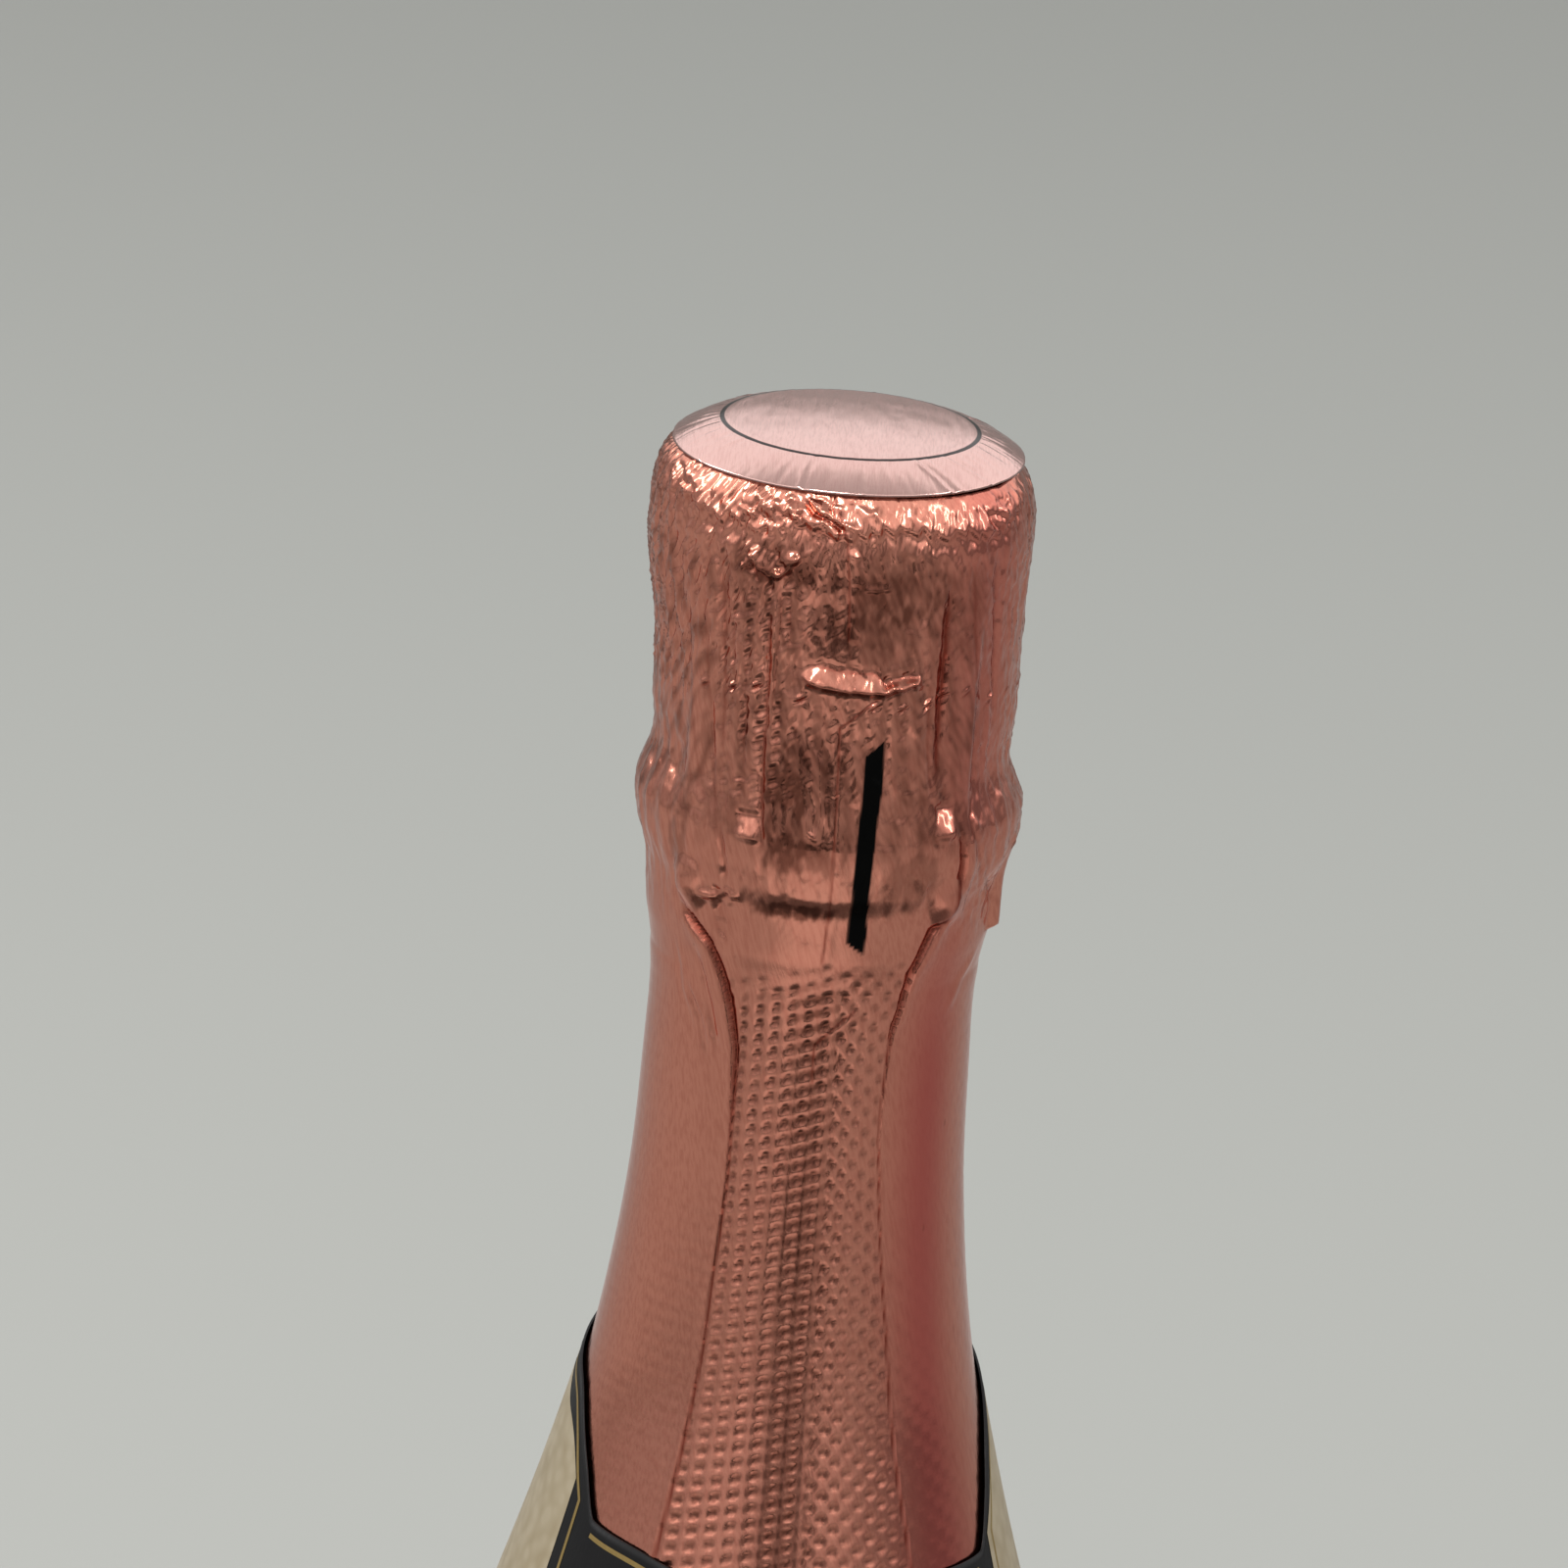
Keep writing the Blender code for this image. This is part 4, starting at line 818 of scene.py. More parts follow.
def weld(piece):
    """Join the points that lie on each other and turn all faces outwards."""
    shape = bmesh.new()
    shape.from_mesh(piece.data)
    bmesh.ops.remove_doubles(shape, verts=shape.verts, dist=WELD_GAP)
    bmesh.ops.dissolve_degenerate(shape, edges=shape.edges, dist=WELD_GAP)
    bmesh.ops.recalc_face_normals(shape, faces=shape.faces)
    shape.to_mesh(piece.data)
    shape.free()
    piece.data.polygons.foreach_set("use_smooth", [True] * len(piece.data.polygons))


def arc(r, z, wide, high, first, last, count=14):
    """Part of an ellipse round (r, z), as points of an outline."""
    return [(r + wide * math.cos(q), z + high * math.sin(q)) for q in np.linspace(first, last, count)]


def wall(r, first, last, count):
    """Points of an outline one above the other."""
    return [(r, z) for z in np.linspace(first, last, count)]


def glass_wall(inset, first, last, count):
    """Points of an outline along the glass, an inset inside its outer face."""
    z = np.linspace(first, last, count)
    return list(zip(glass_radius(z) - inset, z))


def tube(path, radius, sides, closed=False):
    """Points and faces of a round wire along a path."""
    path = np.asarray(path, float)
    n = len(path)
    if closed:
        along = np.roll(path, -1, 0) - np.roll(path, 1, 0)
    else:
        along = np.gradient(path, axis=0)
    along /= np.linalg.norm(along, axis=1)[:, None]
    up = np.cross(along[0], [0.0, 0.0, 1.0])
    if np.linalg.norm(up) < 0.1:
        up = np.cross(along[0], [0.0, 1.0, 0.0])
    ups = []
    for t in along:
        up = up - t * (up @ t)
        up /= np.linalg.norm(up)
        ups.append(up)
    ups = np.array(ups)
    others = np.cross(along, ups)
    a = full_turn(sides)[None, :, None]
    ring = path[:, None] + radius * (np.cos(a) * ups[:, None] + np.sin(a) * others[:, None])
    faces = []
    for i in range(n if closed else n - 1):
        k = (i + 1) % n
        for j in range(sides):
            m = (j + 1) % sides
            faces.append((i * sides + j, i * sides + m, k * sides + m, k * sides + j))
    if not closed:
        faces.append(tuple(range(sides - 1, -1, -1)))
        faces.append(tuple(range((n - 1) * sides, n * sides)))
    return ring.reshape(-1, 3), faces


def joined(name, parts, material, body):
    """One piece of several parts, each with its points and faces."""
    verts, faces, first = [], [], 0
    for v, f in parts:
        verts.append(v)
        faces += [tuple(k + first for k in face) for face in f]
        first += len(v)
    return new_mesh(name, np.concatenate(verts), faces, material, body)


def length_along(path):
    """Length from the first point of a path to each of its points."""
    return np.concatenate([[0.0], np.cumsum(np.linalg.norm(np.diff(path, axis=0), axis=1))])


def strands(path, radius, pitch, start):
    """Two wires twisted about each other along a path."""
    along = np.gradient(path, axis=0)
    along /= np.linalg.norm(along, axis=1)[:, None]
    up = np.cross(along, [0.0, 1.0, 0.0])
    up /= np.linalg.norm(up, axis=1)[:, None]
    other = np.cross(along, up)
    out = []
    for k in (0, 1):
        a = (start + TAU * length_along(path) / pitch + math.pi * k)[:, None]
        out.append(tube(path + radius * (np.cos(a) * up + np.sin(a) * other), radius, 8))
    return out


def smooth_path(points, count):
    """Evenly spaced points on a smooth curve through the given ones."""
    points = np.array(points, float)
    t = length_along(points)
    q = np.linspace(0.0, t[-1], count)
    return np.stack([curve(list(zip(t, points[:, k])), q) for k in range(3)], 1)


# Finishes


class Nodes:
    """The shader nodes of a material or of the world, added one by one."""

    def __init__(self, owner):
        owner.use_nodes = True
        self.nodes = owner.node_tree.nodes
        self.links = owner.node_tree.links

    def add(self, kind, **given):
        node = self.nodes.new(kind)
        for key, value in given.items():
            setattr(node, key, value)
        return node

    def fill(self, socket, value):
        if isinstance(value, bpy.types.NodeSocket):
            self.links.new(value, socket)
        elif socket.type == "RGBA":
            socket.default_value = (*value, 1.0)
        else:
            socket.default_value = value

    def put(self, node, **given):
        for key, value in given.items():
            self.fill(node.inputs[key.replace("_", " ")], value)
        return node

    def maths(self, kind, *values):
        node = self.add("ShaderNodeMath", operation=kind)
        for socket, value in zip(node.inputs, values):
            self.fill(socket, value)
        return node.outputs[0]

    def part(self, source, share):
        return self.maths("MULTIPLY", source, share)

    def graded(self, source, share, base):
        """A base with a share of the source added to it."""
        return self.maths("ADD", self.part(source, share), base)

    def smooth_range(self, value, from_low, from_high, to_low=0.0, to_high=1.0):
        node = self.add("ShaderNodeMapRange", interpolation_type="SMOOTHSTEP")
        self.put(node, Value=value, From_Min=from_low, From_Max=from_high, To_Min=to_low, To_Max=to_high)
        return node.outputs["Result"]

    def axes(self, source):
        """X, Y and Z of a vector."""
        return self.put(self.add("ShaderNodeSeparateXYZ"), Vector=source).outputs

    def ramp(self, source, *stops, shape="LINEAR"):
        node = self.put(self.add("ShaderNodeValToRGB"), Fac=source)
        node.color_ramp.interpolation = shape
        bar = node.color_ramp.elements
        while len(bar) < len(stops):
            bar.new(0.5)
        for element, (at, colour) in zip(bar, stops):
            element.position = at
            element.color = (*colour, 1.0)
        return node.outputs["Color"]

    def mix(self, share, a, b):
        node = self.add("ShaderNodeMix", data_type="RGBA")
        for name, value in (("Factor", share), ("A", a), ("B", b)):
            self.fill(next(k for k in node.inputs if k.name == name and k.enabled), value)
        return next(k for k in node.outputs if k.enabled)


class Finish(Nodes):
    """A material; its patterns lie in the piece's own space, in metres."""

    def __init__(self, name):
        self.material = bpy.data.materials.new(name)
        super().__init__(self.material)
        self.here = self.add("ShaderNodeTexCoord").outputs["Object"]

    def mapped(self, source, **given):
        return self.put(self.add("ShaderNodeMapping"), Vector=source, **given).outputs["Vector"]

    def noise(self, scale, detail, source=None):
        """Soft noise; a scale for each axis draws it out."""
        source = source or self.here
        if isinstance(scale, tuple):
            source, scale = self.mapped(source, Scale=scale), 1.0
        node = self.add("ShaderNodeTexNoise")
        return self.put(node, Vector=source, Scale=scale, Detail=detail).outputs["Fac"]

    def cells(self, scale, feature="F1", output="Distance", source=None):
        node = self.add("ShaderNodeTexVoronoi", feature=feature)
        return self.put(node, Vector=source or self.here, Scale=scale).outputs[output]

    def bump(self, height, distance, strength):
        node = self.add("ShaderNodeBump")
        return self.put(node, Height=height, Distance=distance, Strength=strength).outputs["Normal"]

    def given(self, name):
        """A value painted on the piece's points."""
        return self.add("ShaderNodeAttribute", attribute_name=name).outputs["Fac"]

    def done(self, **given):
        self.put(self.nodes["Principled BSDF"], **given)
        return self.material


def foil_finish():
    f = Finish("rose_foil_crushed")
    leaning = f.mapped(f.here, Rotation=(0.0, 0.30, 0.0))
    brushed = f.noise((3800.0, 3800.0, 460.0), 2.0, leaning)
    grain = f.noise(2600.0, 3.0)
    ink = f.given("ink")
    base = f.mix(f.part(f.noise(180.0, 3.0), 0.5), (0.84, 0.345, 0.245), (0.76, 0.275, 0.195))
    base = f.mix(f.ramp(brushed, (0.42, (0, 0, 0)), (0.66, (0.4, 0.4, 0.4))), base, (0.58, 0.185, 0.13))
    # Painted light in the colour: a red reflection on the right side, shade in dents and broad places, and
    # deeper shade in folds
    base = f.mix(f.given("red_reflection"), base, (0.60, 0.13, 0.115))
    base = f.mix(f.given("shade"), base, (0.17, 0.056, 0.037))
    base = f.mix(f.part(f.given("deep_shade"), 0.9), base, (0.26, 0.035, 0.02))
    base = f.mix(ink, base, (0.006, 0.006, 0.006))
    rough = f.maths("ADD", f.graded(grain, 0.12, 0.10), f.part(ink, 0.25))
    hatch = f.maths("ADD", f.part(brushed, 0.75), f.part(grain, 0.35))
    return f.done(Base_Color=base, Metallic=1.0, Roughness=rough, Normal=f.bump(hatch, 0.000016, 1.0))


def pale_foil_finish():
    f = Finish("pale_foil_disc")
    brushed = f.noise((7000.0, 700.0, 700.0), 2.0)
    cloud = f.noise(260.0, 4.0)
    base = f.mix(f.part(cloud, 0.6), (0.92, 0.60, 0.545), (0.84, 0.49, 0.445))
    base = f.mix(f.ramp(brushed, (0.45, (0, 0, 0)), (0.7, (0.35, 0.35, 0.35))), base, (0.66, 0.36, 0.33))
    # The ink layer darkens the printed ring and paints shade under the rim
    base = f.mix(f.given("ink"), base, (0.030, 0.020, 0.018))
    normal = f.bump(f.graded(cloud, 0.4, brushed), 0.000012, 0.7)
    return f.done(Base_Color=base, Metallic=1.0, Roughness=f.graded(brushed, 0.14, 0.13), Normal=normal)


def two_tone_finish(name, pattern, tone, colours, rough, bump, **given):
    """Two colours mixed by a soft noise, and one pattern for both roughness and bump."""
    f = Finish(name)
    relief = f.noise(*pattern)
    scale, detail, share = tone
    base = f.mix(f.part(f.noise(scale, detail), share), *colours)
    return f.done(Base_Color=base, Roughness=f.graded(relief, *rough), Normal=f.bump(relief, *bump), **given)


def paper_finish():
    return two_tone_finish(
        "black_label_paper", ((2400.0, 2400.0, 900.0), 4.0), (140.0, 3.0, 0.6),
        ((0.006, 0.006, 0.007), (0.014, 0.013, 0.013)), (0.2, 0.34), (0.00004, 0.5), Specular_IOR_Level=0.2,
    )


def gold_finish():
    return two_tone_finish(
        "gold_print", (3000.0, 2.0), (3000.0, 2.0, 1.0),
        ((0.42, 0.30, 0.11), (0.30, 0.20, 0.07)), (0.3, 0.28), (0.00002, 0.4), Metallic=0.75,
    )


def beige_finish():
    f = Finish("beige_print")
    leaf = f.ramp(f.cells(700.0, "SMOOTH_F1"), (0.25, (1, 1, 1)), (0.7, (0, 0, 0)))
    cloud = f.noise(300.0, 4.0)
    base = f.mix(leaf, (0.42, 0.34, 0.22), (0.52, 0.44, 0.31))
    base = f.mix(f.part(cloud, 0.35), base, (0.30, 0.23, 0.13))
    return f.done(Base_Color=base, Metallic=0.35, Roughness=0.42, Normal=f.bump(cloud, 0.00004, 0.4))


def glass_finish():
    f = Finish("dark_green_glass")
    ripple = f.noise(38.0, 2.0)
    base = f.mix(f.part(ripple, 0.5), (0.055, 0.13, 0.045), (0.04, 0.10, 0.035))
    rough, normal = f.graded(f.noise(900.0, 2.0), 0.05, 0.03), f.bump(ripple, 0.0006, 0.35)
    return f.done(Base_Color=base, Transmission_Weight=1.0, IOR=1.5, Roughness=rough, Normal=normal)


def wine_finish():
    f = Finish("rose_wine_liquid")
    base = f.mix(f.noise(60.0, 2.0), (0.85, 0.42, 0.33), (0.88, 0.47, 0.38))
    return f.done(Base_Color=base, Transmission_Weight=1.0, IOR=1.34, Roughness=0.02)


def cork_finish():
    f = Finish("ground_cork")
    gap = f.cells(900.0, "DISTANCE_TO_EDGE")
    fine = f.noise(2200.0, 4.0)
    tone = f.put(f.add("ShaderNodeSeparateColor"), Color=f.cells(900.0, "F1", "Color")).outputs["Red"]
    base = f.ramp(tone, (0.0, (0.30, 0.17, 0.08)), (0.45, (0.50, 0.33, 0.18)), (1.0, (0.64, 0.46, 0.28)))
    base = f.mix(f.part(fine, 0.4), base, (0.35, 0.21, 0.11))
    base = f.mix(f.ramp(gap, (0.0, (1, 1, 1)), (0.08, (0, 0, 0))), base, (0.16, 0.085, 0.04))
    height = f.graded(fine, 0.1, f.maths("MINIMUM", gap, 0.15))
    return f.done(Base_Color=base, Roughness=0.85, Normal=f.bump(height, 0.0004, 0.7))


def natural_cork_finish():
    f = Finish("natural_cork_grain")
    streak = f.noise((300.0, 900.0, 2200.0), 4.0)
    pore = f.cells(450.0, source=f.mapped(f.here, Scale=(1.0, 1.0, 3.0)))
    base = f.ramp(streak, (0.3, (0.42, 0.26, 0.13)), (0.7, (0.68, 0.49, 0.30)))
    base = f.mix(f.ramp(pore, (0.05, (1, 1, 1)), (0.16, (0, 0, 0))), base, (0.13, 0.07, 0.035))
    return f.done(Base_Color=base, Roughness=0.8, Normal=f.bump(streak, 0.0002, 0.5))


def wire_finish():
    return two_tone_finish(
        "drawn_wire", ((3000.0, 3000.0, 900.0), 3.0), (300.0, 3.0, 1.0),
        ((0.60, 0.58, 0.55), (0.42, 0.40, 0.37)), (0.25, 0.2), (0.00003, 0.4), Metallic=1.0,
    )


def plaque_finish():
    return two_tone_finish(
        "lacquered_plaque", ((2600.0, 500.0, 500.0), 3.0), (220.0, 3.0, 1.0),
        ((0.66, 0.34, 0.27), (0.74, 0.42, 0.34)), (0.2, 0.2), (0.00003, 0.3), Metallic=0.9,
    )


# The foil

BAR_LEFT = ((864, 962), (869, 915), (873, 865), (877, 815), (881, 769))
BAR_RIGHT = ((881, 974), (884, 950), (888, 900), (893, 850), (897, 800), (901, 753))
BAR_SOFT = 0.1
# Points round the hood and the skirt, how much closer they lie behind, and their steps upwards
HOOD_TURNS, SKIRT_TURNS, CROWDING = 504, 370, 0.34
HOOD_STEP, SKIRT_STEP, FOLD_STEP, HIDDEN_STEP = 0.164, 0.262, 0.6, 0.8
# Lengths where the fold under the disc starts, and where the skirt starts and comes out of the neck label
FOLD_LENGTH, SKIRT_LOW, LABEL_COVER = 3.2, 214.2, 219.0
HOOD_LAP, SKIRT_LAP = 0.06, 0.05
# Piece of the skirt that the wire loop takes along: first and last turn, first and last length
LOOP_WINDOW = (math.radians(74.0), math.radians(106.0), 273.2, 283.4)


def bar_ink(phi, s):
    """How far a point is inside the plain black bar printed beside the seam, in mm."""
    left, right = seen(*BAR_LEFT), seen(*BAR_RIGHT)
    a, b = (np.interp(s, side[:, 1], side[:, 0]) for side in (left, right))
    ends_at = []
    for n in (-1, 0):
        share = np.clip((phi - left[n, 0]) / (right[n, 0] - left[n, 0]), -0.5, 1.5)
        ends_at.append(left[n, 1] + share * (right[n, 1] - left[n, 1]))
    top, low = ends_at
    return np.minimum(np.minimum((phi - a) * ROUND_R, (b - phi) * ROUND_R), np.minimum(top - s, s - low))


def foil_sheet(name, phi, s, body, material, window=None, kept=False):
    """One sheet of the foil; a window of it is left out, or kept alone."""
    PHI, S = np.meshgrid(phi, s, indexing="ij")
    points, deep_shade, shade = foil_points(PHI, S)
    faces = np.array(grid_faces(*PHI.shape, True))
    if window:
        p0, p1, s0, s1 = window
        inside = (np.abs(turn_from(PHI, 0.5 * (p0 + p1))) < 0.5 * (p1 - p0)) & (S > s0) & (S < s1)
        faces = faces[inside.ravel()[faces].all(1) == kept]
    used = np.unique(faces)
    order = np.full(PHI.size, -1)
    order[used] = np.arange(len(used))
    piece = new_mesh(name, points.reshape(-1, 3)[used], order[faces].tolist(), material, body)
    # Painted red reflection down the right side of the foil
    red_reflection = 0.85 * bell(PHI - 0.86, 0.24) * ease((292.0 - S) / 30.0)
    red_reflection += 0.45 * bell(PHI - 0.90, 0.35) * ease((S - 285.0) / 6.0)
    ink = np.clip(bar_ink(PHI, S) / BAR_SOFT + 0.5, 0.0, 1.0) * (np.abs(PHI) < 0.6)
    for layer, values in (("deep_shade", deep_shade), ("shade", shade), ("red_reflection", red_reflection), ("ink", ink)):
        paint(piece, layer, values.ravel()[used])
    return piece


def round_turns(count):
    """Turns all the way round, closer together at the back of the bottle."""
    even_turns = full_turn(count) - math.pi
    return even_turns - CROWDING * np.sin(even_turns)


def add_foil():
    coarse = 1.0
    foil = foil_finish()
    phi = round_turns(int(HOOD_TURNS / coarse))
    fold = FOIL_END - FOLD_LENGTH
    s = np.concatenate([even(TEAR - HOOD_LAP, fold, HOOD_STEP * coarse), even(fold, FOIL_END, FOLD_STEP)[1:]])
    hood = foil_sheet("foil_hood_sheet", phi, s, "hood", foil)
    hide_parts("foil_hood")
    phi = round_turns(int(SKIRT_TURNS / coarse))
    shown = even(LABEL_COVER, TEAR + SKIRT_LAP, SKIRT_STEP * coarse)
    s = np.concatenate([even(SKIRT_LOW, LABEL_COVER, HIDDEN_STEP), shown[1:]])
    skirt = foil_sheet("foil_skirt_sheet", phi, s, "root", foil, LOOP_WINDOW)
    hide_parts("foil_skirt")
    flap = foil_sheet("foil_loop_flap", phi, s, "loop", foil, LOOP_WINDOW, True)


# Radii of the disc's fine mesh: crown up to its edge, then the bevel
CROWN_RS, BEVEL_RS = np.linspace(0.0, 10.2, 50), np.linspace(10.3, DISC_R, 76)
DISC_STEPS = 360
# Under the disc's rim: radius, height
DISC_RIM = ((DISC_R + 0.02, 318.36), (14.7, 318.2))
# Painted shade under the disc's rim, carried by the ink layer
RIM_SHADE = 0.6
RING_R, RING_HALF_WIDE, RING_SOFT = 10.95, 0.17, 0.06
# Creases of the bevel: turn, depth, how far it leans
DISC_CREASES = (
    (-0.27, 0.10, 0.04), (0.57, 0.12, 0.35), (0.66, 0.05, 0.30), (0.86, 0.09, 0.5), (0.1, 0.04, 0.0),
    (-0.95, 0.05, -0.2), (2.1, 0.1, 0.3), (-2.3, 0.1, -0.2), (3.0, 0.06, 0.1),
)


def add_top_disc():
    phi = full_turn(DISC_STEPS) - math.pi
    R, PHI = np.meshgrid(np.concatenate([CROWN_RS, BEVEL_RS]), phi)
    z = disc_top(R)
    x, y, _ = np.moveaxis(spot_on(R, z, PHI), -1, 0)
    bevel = ease((R - 10.9) / 0.8)
    around = PHI * ROUND_R
    pleat = creased(around / 0.7854, R / 5.0, 120, 41) - 0.5
    z = z + bevel * 0.05 * pleat * ease((DISC_R - R) / 0.5 + 0.3)
    dent = wave_noise(around / 7.854, R / 3.0, 12, 42)
    z = z + 0.018 * dent * ease((R - 3.0) / 4.0) * ease((10.6 - R) / 1.5)
    z = z + 0.016 * wave_noise(x / 0.7 + 40.0, y / 4.0 + 40.0, 97, 43)
    for angle, depth, skew in DISC_CREASES:
        wander = 0.10 * wave_noise(R / 0.8, np.full_like(R, 5.0 + angle), 97, 44)
        d = turn_from(PHI, angle + skew * (R - 13.0) / 13.0) * R + wander
        z = z + bevel * depth * (bell(d, 0.20) - 0.8 * bell(d - 0.36, 0.2))
    under = [spot_on(np.full_like(phi, r), np.full_like(phi, h), phi)[:, None] for r, h in DISC_RIM]
    points = np.concatenate([spot_on(R, z, PHI), *under], 1) + np.array([DISC_AT, 0.0, 0.0])
    faces = [tuple(reversed(q)) for q in grid_faces(DISC_STEPS, points.shape[1], True)]
    piece = new_mesh("foil_top_disc_sheet", points, faces, pale_foil_finish(), "hood")
    ring = 1.0 - ease((np.abs(R - RING_R) - RING_HALF_WIDE) / RING_SOFT)
    # The ink layer holds the printed ring and, under the rim, painted shade
    paint(piece, "ink", np.concatenate([ring, np.full((DISC_STEPS, len(DISC_RIM)), RIM_SHADE)], 1))
    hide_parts("foil_top_disc")


# Labels

LABEL_FOOT, LABEL_BAND_TOP = 198.0, 221.5
# Upper edge of the neck label: turn from the back in degrees, height over the band
LABEL_EDGE = (
    (-180.0, 19.0), (-120.0, 15.0), (-80.0, 12.0), (-71.5, 10.7), (-57.4, 5.9), (-50.4, 2.5), (-48.6, 1.9),
    (-33.5, 1.2), (-18.0, 0.2), (0.0, 0.0), (48.7, 0.0), (63.6, 0.0), (65.6, 0.5), (71.7, 3.8), (80.0, 8.0),
    (95.0, 12.0), (120.0, 15.0), (180.0, 19.0),
)
LEFT_CORNER, RIGHT_CORNER = math.radians(-49.2), math.radians(64.6)
# How far the neck label's inner side is off the glass, and the body labels' one
NECK_LABEL_OFF, BODY_LABEL_OFF = 0.9, 0.3
# How far paper, gold fields and gold lines are off that inner side
PAPER_LIFT = 0.2
NECK_FIELD_LIFT, NECK_LINE_LIFT = 0.235, 0.24
BODY_FIELD_LIFT, BODY_LINE_LIFT = 0.225, 0.23
# Neck label's lines: foot of the upright ones, and the one round the foot
UPRIGHT_FOOT, FOOT_LINE = 204.0, 200.0
LABEL_STEPS, LABEL_ROWS = 360, 40
FIELD_STEPS, FIELD_ROWS = 70, 22
# Boxes on the body: width, foot and height
FRONT_PAPER, FRONT_PLATE, FRONT_FIELD = (92.0, 44.0, 70.0), (44.0, 67.0, 30.0), (38.0, 70.0, 24.0)
BACK_PAPER, BACK_FIELD = (58.0, 50.0, 56.0), (46.0, 80.0, 10.0)
PAPER_CORNER = 2.0
# Body labels: name, turn, paper, frames inside it as (box, inset, line, corner), gold field and its corner
BODY_LABELS = (
    (
        "front", math.pi, FRONT_PAPER,
        ((FRONT_PLATE, 0.0, 0.6, 14.5), (FRONT_PLATE, 1.6, 0.3, 13.0)), FRONT_FIELD, 11.5,
    ),
    ("back", 0.0, BACK_PAPER, (), BACK_FIELD, 2.0),
)
FRAME_STEPS, CORNER_POINTS, SHEET_ROWS = 600, 10, 30


def neck_label_top(phi):
    return LABEL_BAND_TOP + curve(LABEL_EDGE, np.degrees(turn_from(phi, 0.0)))


def on_label(phi, z, lift):
    return spot_on(glass_radius(z) + NECK_LABEL_OFF + lift, z, phi)


def ribbon(phi, z, width):
    """A thin printed line on the neck label along points at turns phi and heights z."""
    radius = glass_radius(z) + NECK_LABEL_OFF
    x = phi * radius
    dx, dz = np.gradient(x), np.gradient(z)
    size = np.hypot(dx, dz)
    nx, nz = -dz / size, dx / size
    sides = []
    for side in (-0.5, 0.5):
        sides.append(on_label((x + nx * width * side) / radius, z + nz * width * side, NECK_LINE_LIFT))
    return np.stack(sides, 1).reshape(-1, 3), grid_faces(len(phi), 2, False)


def neck_label_lines():
    """Gold lines: along the upper edge behind, up and round each side, and round the foot."""
    across = np.linspace(LEFT_CORNER + 0.02, RIGHT_CORNER - 0.06, 60)
    parts = [ribbon(across, neck_label_top(across) - 1.15, 0.42)]
    for side, corner in ((-1, LEFT_CORNER), (1, RIGHT_CORNER)):
        edge = side * np.linspace(abs(corner) + 0.11, math.pi, 90)
        crest = neck_label_top(edge) - 1.2 - bell(edge - edge[0], 0.12)
        upright = np.linspace(UPRIGHT_FOOT, crest[0], 24)[:-1]
        phi = np.concatenate([np.full(len(upright), edge[0]), edge])
        parts.append(ribbon(phi[::side], np.concatenate([upright, crest])[::side], 0.36))
    parts.append(ribbon(np.linspace(-math.pi, math.pi, 200), np.full(200, FOOT_LINE), 0.4))
    return parts


def neck_label_fields():
    """Gold fields from both corners round to the front, with wavy edges."""
    parts = []
    for side, start, margin in ((-1, 1.04, 2.6), (1, 1.19, 0.9)):
        t, rise = np.linspace(start, math.pi, FIELD_STEPS), np.linspace(0.0, 1.0, FIELD_ROWS)
        T, K = np.meshgrid(t, rise, indexing="ij")
        bottom = 203.0 + 2.0 * np.cos(T * 6.0)
        crest = neck_label_top(side * T) - margin - 0.4 * np.cos(T * 14.0)
        points = on_label(side * T, bottom + (crest - bottom) * K, NECK_FIELD_LIFT)
        parts.append((points.reshape(-1, 3), [q[::side] for q in grid_faces(FIELD_STEPS, FIELD_ROWS, False)]))
    return parts


def add_neck_label():
    phi = full_turn(LABEL_STEPS) - math.pi
    PHI, T = np.meshgrid(phi, np.linspace(0.0, 1.0, LABEL_ROWS), indexing="ij")
    z = LABEL_FOOT + (neck_label_top(PHI) - LABEL_FOOT) * T
    wave = 0.03 * wave_noise(PHI * 20 / 10.47, z / 9.0, 12, 51)
    outer = on_label(PHI, z, PAPER_LIFT + wave)
    rim = on_label(phi[:, None], neck_label_top(phi)[:, None], 0.0)
    foot = on_label(phi[:, None], np.full((LABEL_STEPS, 1), LABEL_FOOT), 0.0)
    points = np.concatenate([foot, outer, rim], 1)
    faces = grid_faces(LABEL_STEPS, points.shape[1], True)
    piece = new_mesh("neck_label_paper", points, faces, paper_finish(), "root")
    weld(piece)
    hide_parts("neck_label")
    lines = joined("neck_label_gold_lines", neck_label_lines(), gold_finish(), "root")
    panel = joined("neck_label_gold_field", neck_label_fields(), beige_finish(), "root")


def label_sheet(middle, box, corner, lift):
    """A sheet on the body, with rounded corners."""
    width, low, height = box
    radius = BODY_R + BODY_LABEL_OFF + lift
    half = width / 2.0
    curl = corner * (1 - np.cos(np.linspace(0, math.pi / 2, 8)))
    straight = np.linspace(-half + corner, half - corner, 90)[1:-1]
    x = np.concatenate([-half + curl, straight, half - curl[::-1]])
    inset = np.maximum(corner - np.minimum(x + half, half - x), 0.0)
    cut = corner - np.sqrt(np.maximum(corner**2 - inset**2, 0.0))[:, None]
    X, K = np.meshgrid(x, np.linspace(0.0, 1.0, SHEET_ROWS), indexing="ij")
    z = low + cut + (height - 2 * cut) * K
    points = spot_on(np.full_like(X, radius), z, middle + X / radius)
    return points.reshape(-1, 3), grid_faces(len(x), SHEET_ROWS, False)


